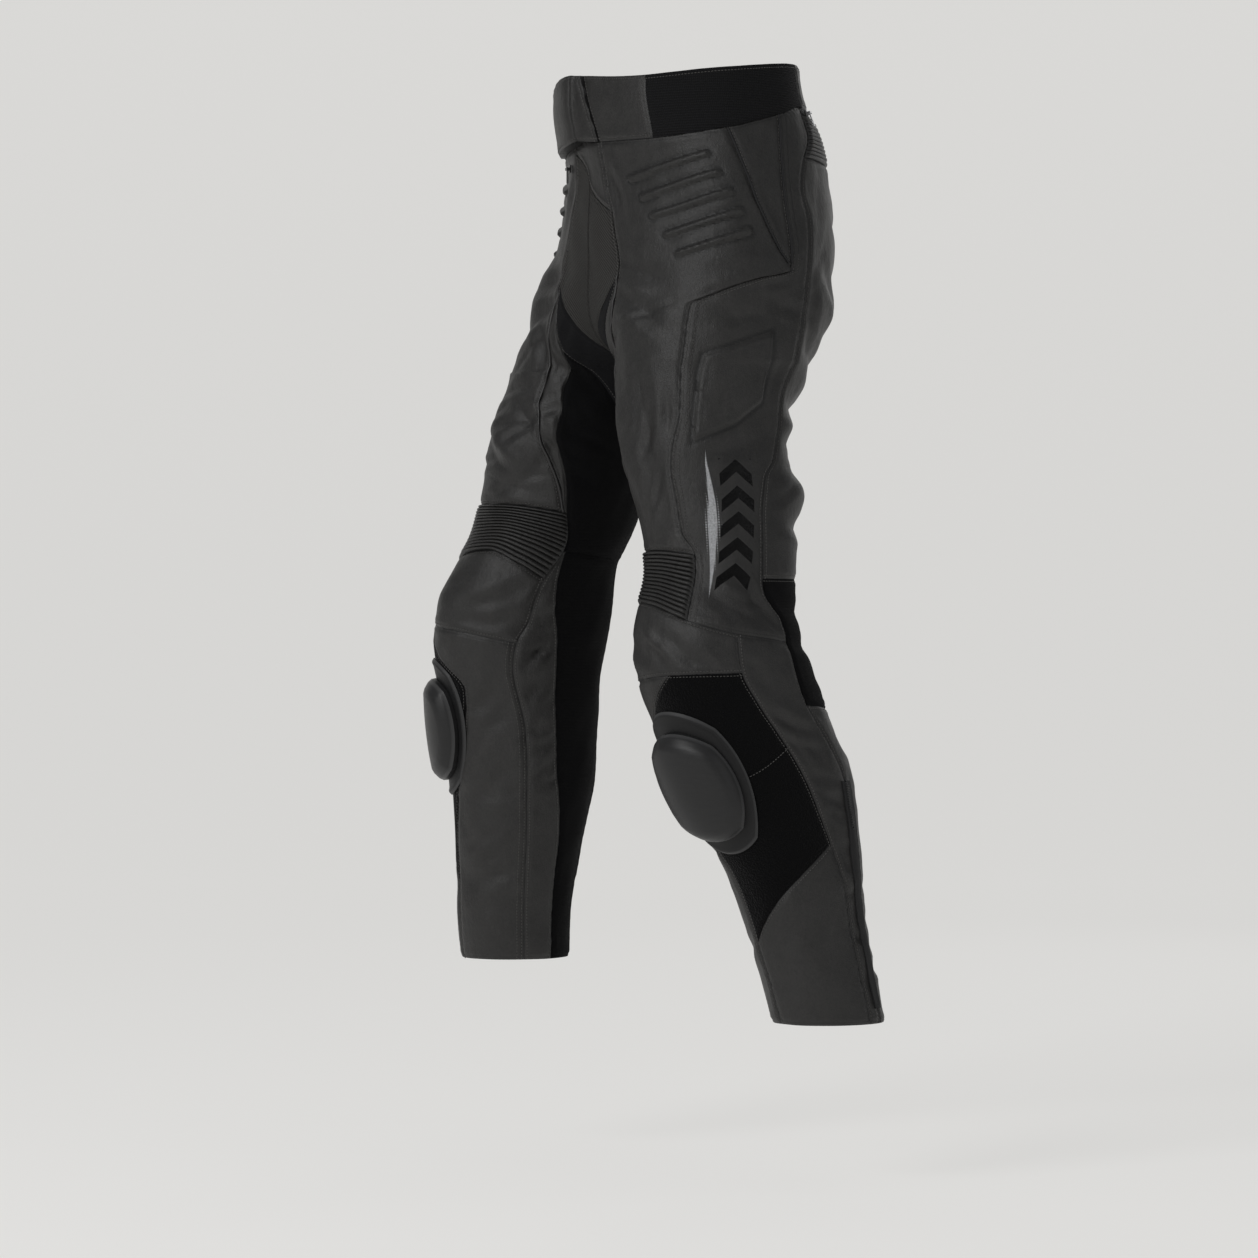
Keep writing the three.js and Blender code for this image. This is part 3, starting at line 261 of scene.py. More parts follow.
BAND_TOP = seam([
    [-0.08, 23], [0, 24], [0.08, 23], [0.3, 15], [0.45, 20], [0.655, 31.5], [1, 40],
    [1.345, 31.5],
])
BAND_BOTTOM = seam([
    [-0.14, -46], [0, -42], [0.14, -46], [0.3, -49], [0.45, -41], [0.559, -25], [0.64, -13],
    [0.655, -12.8], [1, -8], [1.345, -12.8], [1.36, -13],
])
TAB_EDGE = seam([[0.08, 23], [0.12, -11], [0.14, -46]])
ELASTIC_FRONT = seam([[0.3, 15], [0.3, -49]])
ELASTIC_BACK = seam([[0.655, 31.5], [0.655, -12.8]])
ZIP_BOTTOM = seam([[0.639, -22], [1, -18], [1.361, -22]])
FLY_MIDDLE = seam([[0, -84], [0, -262]])
FLY_TOP_EDGE = seam([[-0.142, -54], [0, -84], [0.1, -103], [0.178, -120]])
FLY_BOTTOM = seam([
    [-0.208, -185], [-0.15, -216], [-0.06, -251], [0, -262], [0.06, -251], [0.15, -216],
    [0.208, -185],
])
INSEAM = seam([[0, -262], [0, -350]])
FLY_SIDE = [[0.14, -46], [0.152, -90], [0.178, -120], [0.208, -185]]
PIPING = [
    [0.207, -228], [0.205, -271], [0.19, -316], [0.15, -354], [0.105, -403], [0.054, -476.8],
]
FRONT_LINE = seam([*FLY_SIDE, *PIPING])
GUSSET_LINE = seam([
    [-0.2, -420], [-0.15, -403], [-0.1, -386], [-0.05, -368], [0, -350], [0.079, -310],
    [0.168, -256],
])
STRIP_TOP = seam([[0.168, -256], [0.188, -220.5], [0.208, -185]])
THIGH_LINE = [
    [0.5605, -183.5], [0.51, -193], [0.46, -202], [0.42, -211], [0.386, -220], [0.39, -277],
    [0.388, -326], [0.37, -362], [0.355, -398], [0.352, -447], [0.374, -470], [0.375, -535.5],
]
POCKET_FRONT = seam([[0.45, -41], [0.492, -99], [0.54, -163], *THIGH_LINE])
POCKET_TIP = -178
POCKET_BACK = seam([[0.559, -25], [0.552, -73], [0.551, -100], [0.559, -146], *THIGH_LINE])
POCKET_BOTTOM = seam([[0.55, POCKET_TIP], [0.57, POCKET_TIP]])
OUTER_BACK_LINE = seam([
    [0.64, -13], [0.639, -22], [0.637, -40], [0.603, -72], [0.589, -103], [0.6, -130],
    [0.597, -173], [0.595, -215], [0.593, -260], [0.592, -303], [0.594, -338], [0.578, -373],
    [0.546, -393], [0.527, -431], [0.526, -494], [0.532, -508], [0.584, -536], [0.593, -557],
    [0.586, -596], [0.61, -660], [0.632, -700], [0.62, -790], [0.62, -865], [0.62, HEM],
])
INNER_BACK_LINE = seam([
    [1, -70], [1, CROTCH], [1, -350], [0.95, -368], [0.9, -386], [0.85, -403], [0.8, -420],
    [0.8, -530], [0.8, -628], [0.797, -700], [0.795, -780], [0.792, -860], [0.79, HEM],
])
YOKE_BOTTOM = seam([[0.6, -66], [1, -70], [1.4, -66]])
INNER_LINE = seam([
    [0.168, -256], [0.161, -295], [0.118, -347], [0.074, -410], [0.044, -478], [0.018, -519],
    [0.03, -547], [0.039, -590], [0.06, -611], [0.068, -640], [0.05, -700], [0.048, -771],
    [0.034, -867], [0.03, HEM],
])
STRETCH_LINE = seam([
    [0.012, -519.4], [0.003, -547], [-0.007, -578], [-0.017, -608], [-0.018, -640],
    [-0.017, -668], [-0.017, -700], [-0.017, -730], [-0.035, -785], [-0.05, -835],
    [-0.06, HEM],
])
STRETCH_CROSS = seam([[-0.2, -530], [0.012, -519.4], [0.018, -519]])
PLEATS_TOP = seam([
    [0.044, -478], [0.054, -476.8], [0.185, -467], [0.28, -466], [0.374, -470],
])
PLEATS_BOTTOM = seam([
    [0.03, -547], [0.1, -530], [0.185, -517], [0.28, -521], [0.375, -535.5], [0.475, -549],
    [0.593, -557],
])
KNEE_BOTTOM = seam([[0.06, -611], [0.196, -598], [0.329, -591], [0.471, -588]])
KNEE_BACK_TOP = seam([[0.526, -494], [0.8, -494]])
KNEE_BACK_BOTTOM = seam([[0.592, -620], [0.8, -628]])
LOOP_BACK = seam([
    [0.475, -549], [0.471, -588], [0.483, -616], [0.524, -695], [0.534, -726], [0.556, -784],
    [0.568, -810], [0.568, -875], [0.568, HEM],
])
LOOP_FRONT = seam([
    [0.329, -591], [0.25, -627], [0.18, -659], [0.192, -693], [0.25, -773], [0.262, -815],
    [0.268, -861], [0.27, HEM],
])
LOOP_SPLIT = seam([[0.21, -730], [0.436, -685], [0.52, -656]])
SHIN_LINE = seam([[0.26, -861], [0.391, -812], [0.55, -757]])
HEM_LINE = seam([[-0.3, HEM], [1, HEM]])


# Value on a seam at a key, by a curve through its rows that never overshoots them
def follow(rows, key, value):
    other = "u" if key == "t" else "t"
    order = np.argsort(rows[key])
    keys = rows[key][order]
    values = rows[other][order]
    if len(keys) == 2:
        return np.interp(value, keys, values)
    step = np.diff(values) / np.diff(keys)
    product = step[:-1] * step[1:]
    total = step[:-1] + step[1:]
    middle = np.where(product > 0, 2 * product / np.where(total == 0, 1, total), 0)
    slope = np.concatenate([step[:1], middle, step[-1:]])
    i = np.clip(np.searchsorted(keys, value, side="right") - 1, 0, len(keys) - 2)
    span = keys[i + 1] - keys[i]
    s = np.clip((value - keys[i]) / span, 0, 1)
    return (values[i] * (1 + 2 * s) * (1 - s) ** 2 + values[i + 1] * s * s * (3 - 2 * s)
            + slope[i] * span * s * (1 - s) ** 2 + slope[i + 1] * span * s * s * (s - 1))


# Edges of a panel: each gives the pattern places at shares from 0 to 1 along it
def down(rows, top, bottom, shift=0.0):
    def at(share):
        t = top + (bottom - top) * share
        return np.stack([follow(rows, "t", t) + shift, t], -1)
    return at


def across(rows, start, end):
    def at(share):
        u = start + (end - start) * share
        return np.stack([u, follow(rows, "u", u)], -1)
    return at


# Straight across a seam at one height, to the same distance on both sides of it
def level(rows, t, half_width):
    def at(share):
        return np.stack([follow(rows, "t", t) + half_width * (2 * share - 1), t + 0 * share], -1)
    return at


def mirrored(edge, middle):
    def at(share):
        places = edge(share)
        return np.stack([2 * middle - places[..., 0], places[..., 1]], -1)
    return at


# Place where a seam down the leg meets one across it
def crossing(side_rows, cross_rows):
    t = cross_rows["t"].mean()
    damping = 0.6
    for _ in range(40):
        t += damping * (float(follow(cross_rows, "u", follow(side_rows, "t", t))) - t)
    return float(follow(side_rows, "t", t)), t


# Shares along an edge: close together at both ends, where the cloth rolls into the seam
EDGE_OFFSETS = (0.8, 1.8, 3.0, 4.6, 7.0)
LARGEST_EDGE_SHARE = 0.3


def spread(length, step):
    offsets = [offset for offset in EDGE_OFFSETS if offset < length * LARGEST_EDGE_SHARE]
    first = offsets[-1] if offsets else 0.0
    count = max(2, int(round((length - 2 * first) / step)))
    middle = np.linspace(first, length - first, count + 1)
    ends = np.array([0.0, *offsets[:-1]]) if offsets else np.array([])
    shares = np.concatenate([ends, middle, length - ends[::-1]]) / length
    return np.unique(np.clip(shares, 0, 1))


# Folds of the cloth: width, height and the pattern places that each runs along. The height is
# below zero for a trough. A fold fades towards both ends, and the cloth beside it swells softly
# the other way.
FOLD_GAIN = 1.35
FOLD_REACH = 3.4
TROUGH_SHARPNESS = 1.25
RIDGE_SHARPNESS = 2.0
SWELL_SHARE = 0.38
SWELL_PLACE = 1.75
SWELL_SPREAD = 0.55
END_POWER = 0.8


def fold(side, width, height, *places):
    u = np.array([place[0] for place in places], float)
    t = np.array([place[1] for place in places], float)
    s = np.linspace(0, 1, len(places))
    fine = np.linspace(0, 1, 4 * len(places) + 5)
    line = surface(side, np.interp(fine, s, u), np.interp(fine, s, t))
    return {"line": line, "width": width, "height": height}


BOTH_SIDES_FOLDS = [
    [13, -5.0, (0.62, -262), (0.72, -281), (0.86, -300), (0.95, -306)],
    [20, 4.0, (0.62, -214), (0.70, -222), (0.82, -232)],
    [18, 3.5, (0.64, -285), (0.76, -304), (0.88, -322)],
    [11, -3.4, (0.60, -312), (0.72, -330), (0.84, -338)],
    [10, -2.6, (0.55, -350), (0.64, -358), (0.76, -352), (0.86, -342)],
    [17, 5.0, (0.56, -402), (0.68, -408), (0.80, -404)],
    [8, -2.2, (0.56, -438), (0.66, -444), (0.76, -440)],
    [7, -4.0, (0.56, -520), (0.66, -528), (0.79, -522)],
    [9, 3.0, (0.58, -540), (0.68, -546), (0.80, -541)],
    [7, -4.2, (0.57, -558), (0.68, -563), (0.80, -557)],
    [8, -3.0, (0.60, -590), (0.70, -594), (0.80, -588)],
    [9, -2.2, (0.66, -650), (0.72, -662), (0.79, -664)],
    [6, -1.8, (0.66, -880), (0.72, -888), (0.78, -884)],
    [8, -2.6, (0.96, -330), (0.88, -352), (0.78, -366)],
    [8, -3.0, (0.02, -318), (0.10, -300), (0.19, -268), (0.24, -240)],
    [10, 2.4, (0.04, -345), (0.12, -322), (0.22, -286)],
    [9, -2.4, (0.22, -205), (0.29, -222), (0.36, -250)],
    [9, -2.2, (0.20, -170), (0.27, -186), (0.33, -190)],
    [7, -1.6, (0.15, -70), (0.19, -96), (0.22, -128)],
    [8, -1.8, (0.70, -120), (0.80, -150), (0.90, -190)],
    [9, -1.6, (0.64, -170), (0.70, -205), (0.74, -238)],
    [8, -2.0, (0.97, -110), (0.99, -160), (0.97, -215)],
]
LEFT_FOLDS = [
    [15, 3.4, (0.20, -285), (0.23, -350), (0.27, -420), (0.29, -452)],
    [11, -2.8, (0.29, -270), (0.31, -330), (0.33, -395)],
    [10, -2.4, (0.12, -330), (0.15, -380), (0.17, -430)],
    [9, -2.0, (0.36, -300), (0.365, -345), (0.352, -392)],
    [7, -2.2, (0.21, -548), (0.27, -566), (0.33, -582)],
    [7, -1.9, (0.30, -545), (0.35, -560), (0.39, -580)],
    [8, 1.8, (0.14, -566), (0.22, -580), (0.28, -588)],
    [8, -2.2, (0.40, -505), (0.46, -522), (0.52, -537)],
    [7, -1.7, (0.44, -486), (0.49, -505), (0.52, -520)],
    [6, -2.0, (0.50, -628), (0.54, -642), (0.58, -650)],
    [6, -1.8, (0.52, -655), (0.56, -664), (0.60, -668)],
    [7, -1.6, (0.54, -700), (0.58, -716), (0.61, -724)],
    [6, -1.4, (0.56, -765), (0.59, -780), (0.61, -784)],
    [9, -1.6, (0.42, -226), (0.47, -232), (0.53, -230)],
    [8, -1.8, (0.43, -372), (0.48, -366), (0.55, -352)],
    [8, -1.5, (0.56, -230), (0.565, -290), (0.555, -340)],
    [9, -1.8, (0.61, -200), (0.62, -240), (0.64, -270)],
]
RIGHT_FOLDS = [
    [26, 6.0, (0.30, -150), (0.32, -185), (0.33, -228)],
    [12, -3.2, (0.30, -290), (0.22, -330), (0.13, -372), (0.09, -395)],
    [11, 2.8, (0.32, -330), (0.24, -370), (0.15, -410)],
    [10, -3.0, (0.34, -365), (0.25, -400), (0.16, -432)],
    [8, -2.2, (0.28, -420), (0.20, -440), (0.12, -452)],
    [10, -2.4, (0.26, -215), (0.22, -250), (0.21, -285)],
    [8, -2.0, (0.05, -552), (0.09, -566), (0.15, -574)],
    [7, -1.8, (0.06, -584), (0.11, -592), (0.18, -588)],
    [7, -2.2, (0.02, -560), (0.035, -580), (0.05, -596)],
    [6, -2.0, (0.00, -612), (0.03, -622), (0.06, -640)],
    [6, -2.0, (-0.01, -640), (0.02, -652), (0.05, -668)],
    [7, -1.8, (0.00, -690), (0.03, -700), (0.05, -712)],
    [6, -1.6, (-0.01, -730), (0.02, -742), (0.045, -756)],
    [8, -1.8, (0.10, -650), (0.14, -672), (0.19, -680)],
    [8, -1.6, (0.08, -740), (0.14, -762), (0.22, -770)],
    [7, -1.5, (0.06, -842), (0.13, -856), (0.22, -858)],
]
# Zones of small creases: u from and to, t from and to, lean in degrees, count, length, depth
BOTH_SIDES_CREASES = [
    [0.60, 0.90, -300, -420, 10, 9, 70, 1.3],
    [0.62, 0.90, -130, -260, 62, 5, 80, 0.9],
    [0.02, 0.16, -300, -430, 40, 6, 60, 1.2],
    [0.64, 0.78, -640, -900, 12, 9, 34, 1.0],
]
LEFT_CREASES = [
    [0.12, 0.42, -552, -588, -38, 8, 38, 1.5],
    [0.46, 0.56, -500, -548, -35, 6, 44, 1.3],
    [0.48, 0.60, -575, -700, -38, 9, 36, 1.4],
    [0.22, 0.34, -210, -300, 28, 4, 90, 0.6],
    [0.20, 0.33, -330, -460, 70, 7, 70, 1.3],
    [0.55, 0.61, -720, -900, -30, 7, 26, 1.0],
    [0.10, 0.24, -640, -900, 20, 8, 44, 1.0],
    [0.44, 0.58, -185, -240, 15, 5, 50, 0.9],
]
RIGHT_CREASES = [
    [0.06, 0.34, -290, -460, -34, 10, 84, 1.35],
    [0.04, 0.30, -548, -600, -20, 7, 60, 0.9],
    [-0.01, 0.045, -560, -760, -42, 15, 30, 1.6],
    [0.07, 0.20, -620, -900, -24, 11, 70, 0.9],
    [0.12, 0.30, -200, -290, -50, 6, 60, 1.1],
    [0.34, 0.60, -210, -460, 60, 8, 70, 1.2],
    [0.44, 0.60, -560, -900, -20, 8, 40, 1.0],
]
CREASE_LEAN_SPREAD = 13
CREASE_BOW_SPREAD = 0.08
CREASE_LENGTHS = (0.6, 1.4)
CREASE_WIDTHS = (3.8, 7.5)
CREASE_DEPTHS = (0.6, 1.3)
crease_draws = np.random.default_rng(21)


def crease_zone(side, u_from, u_to, t_from, t_to, lean, count, length, depth):
    result = []
    for k in range(count):
        u = u_from + (u_to - u_from) * crease_draws.uniform(0, 1)
        t = t_from + (t_to - t_from) * (k + crease_draws.uniform(0, 1)) / count
        turn = math.radians(lean + crease_draws.normal(0, CREASE_LEAN_SPREAD))
        reach = 0.5 * length * crease_draws.uniform(*CREASE_LENGTHS)
        bow = crease_draws.normal(0, CREASE_BOW_SPREAD) * reach
        girth = float(girth_at(side, np.array(t)))
        places = []
        for share in (-1.0, -0.5, 0.0, 0.5, 1.0):
            along = share * reach
            aside = bow * (1 - share * share)
            places.append((u + (along * math.cos(turn) - aside * math.sin(turn)) / girth,
                           t + along * math.sin(turn) + aside * math.cos(turn)))
        width = crease_draws.uniform(*CREASE_WIDTHS)
        height = -depth * crease_draws.uniform(*CREASE_DEPTHS)
        result.append(fold(side, width, height, *places))
    return result


FOLDS = [fold(side, *row) for side in SIDES for row in BOTH_SIDES_FOLDS]
FOLDS += [fold("left", *row) for row in LEFT_FOLDS]
FOLDS += [fold("right", *row) for row in RIGHT_FOLDS]
for row in BOTH_SIDES_CREASES:
    FOLDS += crease_zone("left", *row) + crease_zone("right", *row)
for row in LEFT_CREASES:
    FOLDS += crease_zone("left", *row)
for row in RIGHT_CREASES:
    FOLDS += crease_zone("right", *row)

# Gentle unevenness of the cloth everywhere: waves through space with fixed directions
WAVE_COUNT = 26
WAVE_RANGE = (26, 95)
WAVE_STEEPNESS = 0.0042
WAVE_STRETCH = (1, 1, 0.7)
wave_draws = np.random.default_rng(7)
WAVE_LENGTHS = wave_draws.uniform(*WAVE_RANGE, WAVE_COUNT)
WAVE_WAYS = unit(wave_draws.normal(size=(WAVE_COUNT, 3)) * WAVE_STRETCH) * (
    2 * math.pi / WAVE_LENGTHS)[:, None]
WAVE_STARTS = wave_draws.uniform(0, 2 * math.pi, WAVE_COUNT)
WAVE_HEIGHTS = WAVE_STEEPNESS * WAVE_LENGTHS


def unevenness(points):
    phase = points @ WAVE_WAYS.T + WAVE_STARTS
    return (np.sin(phase) * WAVE_HEIGHTS).sum(-1)


# Distance from points to a line and how far along it the nearest point lies
def near_line(points, line):
    best = np.full(len(points), 1e9)
    along = np.zeros(len(points))
    count = len(line) - 1
    for k in range(count):
        step = line[k + 1] - line[k]
        share = np.clip((points - line[k]) @ step / (step @ step), 0, 1)
        distance = np.linalg.norm(points - line[k] - share[:, None] * step, axis=1)
        nearer = distance < best
        best[nearer] = distance[nearer]
        along[nearer] = (k + share[nearer]) / count
    return best, along


# Height of the cloth over its smooth form, from the unevenness and every fold near a point
def folds_at(points):
    flat = points.reshape(-1, 3)
    result = unevenness(flat)
    for one in FOLDS:
        reach = FOLD_REACH * one["width"]
        low = one["line"].min(0) - reach
        high = one["line"].max(0) + reach
        close = ((flat > low) & (flat < high)).all(1)
        if not close.any():
            continue
        distance, along = near_line(flat[close], one["line"])
        q = distance / one["width"]
        sharpness = TROUGH_SHARPNESS if one["height"] < 0 else RIDGE_SHARPNESS
        swell = SWELL_SHARE * np.exp(-((q - SWELL_PLACE) ** 2) / SWELL_SPREAD)
        profile = np.exp(-q ** sharpness) - swell
        taper = np.sin(math.pi * np.clip(along * 0.96 + 0.02, 0, 1)) ** END_POWER
        result[close] += FOLD_GAIN * one["height"] * profile * taper
    return result.reshape(points.shape[:-1])


# Seams: the cloth rolls down into them, is tied down along the stitching and puffs up behind it.
# Folds are flatter beside a seam.
ROLL_WIDTH = 2.2
ROLL_POWER = 1.4
PUFF_SHARE = 0.25
PUFF_PLACE = 6.5
PUFF_WIDTH = 3.2
PUCKER_REACH = 9
FLATTENED_SHARE = 0.5
FLATTENED_WIDTH = 8
INNER_ROLL_SHARE = 0.2
STITCH_OFFSET = 3.0
SECOND_ROW = 9.0
STITCH_GROOVE = 0.45
STITCH_GROOVE_WIDTH = 0.9


# A panel of cloth as a fine grid of pattern places
class Panel:
    def __init__(self, name, side, left, right, top, bottom, step=GRID_STEP, rows=None):
        self.name = name
        self.side = side
        sample = np.linspace(0, 1, 17)
        lengths = []
        for edge in (left, right, top, bottom):
            places = edge(sample)
            points = surface(side, places[:, 0], places[:, 1])
            lengths.append(np.linalg.norm(np.diff(points, axis=0), axis=1).sum())
        tall = max(lengths[:2])
        middle = surface(side, *self.coons(left, right, top, bottom, np.array([0.5]), sample)
                         .reshape(-1, 2).T)
        wide = max(lengths[2], lengths[3], np.linalg.norm(np.diff(middle, axis=0), axis=1).sum())
        down_shares = spread(tall, step) if rows is None else rows
        across_shares = spread(wide, step)
        self.shares = down_shares
        places = self.coons(left, right, top, bottom, down_shares, across_shares)
        self.u = places[..., 0]
        self.t = places[..., 1]
        self.base = surface(side, self.u, self.t)
        self.normal = outward(side, self.u, self.t)
        beside = np.linalg.norm(np.diff(self.base, axis=1), axis=-1)
        below = np.linalg.norm(np.diff(self.base, axis=0), axis=-1)
        still = np.zeros((len(down_shares), 1))
        level = np.zeros((1, len(across_shares)))
        self.from_left = np.concatenate([still, np.cumsum(beside, 1)], 1)
        self.from_right = self.from_left[:, -1:] - self.from_left
        self.from_top = np.concatenate([level, np.cumsum(below, 0)], 0)
        self.from_bottom = self.from_top[-1:, :] - self.from_top
        self.width = float(self.from_left[:, -1].max())
        self.length = float(self.from_top[-1, :].max())
        self.raised = np.zeros(self.u.shape)
        self.folds = folds_at(self.base)
        self.edge = np.minimum.reduce(
            [self.from_left, self.from_right, self.from_top, self.from_bottom])

    @staticmethod
    def coons(left, right, top, bottom, rows, columns):
        r = rows[:, None, None]
        c = columns[None, :, None]
        sides = (1 - c) * left(rows)[:, None] + c * right(rows)[:, None]
        ends = (1 - r) * top(columns)[None] + r * bottom(columns)[None]
        zero = np.array(0.0)
        one = np.array(1.0)
        corners = ((1 - r) * ((1 - c) * left(zero) + c * right(zero))
                   + r * ((1 - c) * left(one) + c * right(one)))
        ends_at_corners = ((1 - r) * ((1 - c) * top(zero) + c * top(one))
                           + r * ((1 - c) * bottom(zero) + c * bottom(one)))
        return sides + ends - (corners + ends_at_corners) / 2

    # Distance round the leg from its outer side and height on the pattern, in millimetres
    def pattern(self):
        return (self.u - 0.5) * girth_at(self.side, self.t), self.t

    # Height of the cloth: rolled into the seams, puckered beside them, folded and raised
    def shape(self, roll=1.3, pucker=0.4, fold_share=1.0, lift=0.0, raised=None, wall=WALL,
              second_row=False):
        if raised is not None:
            self.raised = raised
        x, y = self.pattern()
        # Two crossing waves, about 6 and 11 mm long
        ripple = np.sin(x * 0.61 + y * 0.83) * np.sin(y * 0.31 - x * 0.47 + 1.3)
        seam_roll = (-roll * np.exp(-((self.edge / ROLL_WIDTH) ** ROLL_POWER))
                     + PUFF_SHARE * roll * bell(self.edge, PUFF_PLACE, PUFF_WIDTH))
        seam_roll -= STITCH_GROOVE * bell(self.edge, STITCH_OFFSET, STITCH_GROOVE_WIDTH)
        if second_row:
            seam_roll -= STITCH_GROOVE * bell(self.from_left, SECOND_ROW, STITCH_GROOVE_WIDTH)
        fold_share = fold_share * (1 - FLATTENED_SHARE * bell(self.edge, 0, FLATTENED_WIDTH))
        height = (SKIN + lift + seam_roll + fold_share * self.folds + self.raised
                  + pucker * ripple * np.exp(-self.edge / PUCKER_REACH))
        self.outer = self.base + self.normal * height[..., None]
        inner_roll = np.minimum(0, seam_roll) * INNER_ROLL_SHARE
        inner_height = lift + fold_share * self.folds - wall + inner_roll
        self.inner = self.base + self.normal * inner_height[..., None]


# A mesh from vertices in millimetres and faces
def make_mesh(name, vertices, faces, attributes=(), sharp=50):
    mesh = bpy.data.meshes.new(name)
    mesh.from_pydata((vertices * MM).tolist(), [], faces.tolist())
    for label, kind, values in attributes:
        layer = mesh.attributes.new(label, kind, "POINT")
        key = "vector" if kind == "FLOAT_VECTOR" else "value"
        layer.data.foreach_set(key, np.asarray(values, np.float32).ravel())
    mesh.shade_smooth()
    mesh.set_sharp_from_angle(angle=math.radians(sharp))
    mesh.update()
    obj = bpy.data.objects.new(name, mesh)
    bpy.context.scene.collection.objects.link(obj)
    return obj


# Six times the volume inside faces of four corners, below zero where they point inward
def volume_of(vertices, faces):
    a = vertices[faces[:, 0]]
    b = vertices[faces[:, 1]]
    c = vertices[faces[:, 2]]
    d = vertices[faces[:, 3]]
    return (a * np.cross(b, c)).sum() + (a * np.cross(c, d)).sum()


# Faces of a closed shell between two grids
def shell_faces(rows, columns):
    index = np.arange(rows * columns).reshape(rows, columns)
    under = index + rows * columns

    def quads(a, b, c, d):
        return np.stack([a.ravel(), b.ravel(), c.ravel(), d.ravel()], -1)

    return np.concatenate([
        quads(index[:-1, :-1], index[1:, :-1], index[1:, 1:], index[:-1, 1:]),
        quads(under[:-1, :-1], under[:-1, 1:], under[1:, 1:], under[1:, :-1]),
        quads(index[0, 1:], under[0, 1:], under[0, :-1], index[0, :-1]),
        quads(index[-1, :-1], under[-1, :-1], under[-1, 1:], index[-1, 1:]),
        quads(index[:-1, 0], under[:-1, 0], under[1:, 0], index[1:, 0]),
        quads(index[1:, -1], under[1:, -1], under[:-1, -1], index[:-1, -1]),
    ])


# A closed shell between two grids, turned so that its faces point outward
def make_shell(name, outer, inner, attributes, sharp=50):
    vertices = np.concatenate([outer.reshape(-1, 3), inner.reshape(-1, 3)])
    faces = shell_faces(*outer.shape[:2])
    if volume_of(vertices, faces) < 0:
        faces = faces[:, ::-1]
    return make_mesh(name, vertices, faces, attributes, sharp)


# Panels by name
PANELS = {}


# Shows a panel as a closed shell in place of its solid
def show_panel(panel, material):
    points = panel.u.size
    x, y = panel.pattern()
    pattern = np.stack([x, y, np.zeros(x.shape)], -1).reshape(-1, 3)
    outside = np.concatenate([np.ones(points), np.zeros(points)])
    attributes = [
        ("pattern", "FLOAT_VECTOR", np.tile(pattern, (2, 1))),
        ("seam_distance", "FLOAT", np.tile(panel.edge.ravel(), 2)),
        ("left_distance", "FLOAT", np.tile(panel.from_left.ravel(), 2)),
        ("raised", "FLOAT", np.tile(panel.raised.ravel(), 2)),
        ("outside", "FLOAT", outside),
    ]
    name = panel.name
    obj = make_shell(f"{name}_cloth", panel.outer, panel.inner, attributes)
    obj.data.materials.append(material)
    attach(obj, BODY)
    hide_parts(name)
    PANELS[name] = panel
    return obj


# Node maths as expressions. A Field is one number over the surface.
class Field:
    def __init__(self, graph, socket):
        self.graph = graph
        self.socket = socket

    def maths(self, operation, *others):
        return self.graph.maths(operation, self, *others)

    def __add__(self, other):
        return self.maths("ADD", other)

    def __radd__(self, other):
        return self.graph.maths("ADD", other, self)

    def __sub__(self, other):
        return self.maths("SUBTRACT", other)

    def __rsub__(self, other):
        return self.graph.maths("SUBTRACT", other, self)

    def __mul__(self, other):
        return self.maths("MULTIPLY", other)

    def __rmul__(self, other):
        return self.graph.maths("MULTIPLY", other, self)

    def __truediv__(self, other):
        return self.maths("DIVIDE", other)

    def __rtruediv__(self, other):
        return self.graph.maths("DIVIDE", other, self)

    def clamp(self):
        return self.maths("MINIMUM", 1.0).maths("MAXIMUM", 0.0)

    def absolute(self):
        return self.maths("ABSOLUTE")

    def sine(self):
        return self.maths("SINE")

    def wrapped(self, top, bottom):
        return self.graph.maths("WRAP", self, top, bottom)


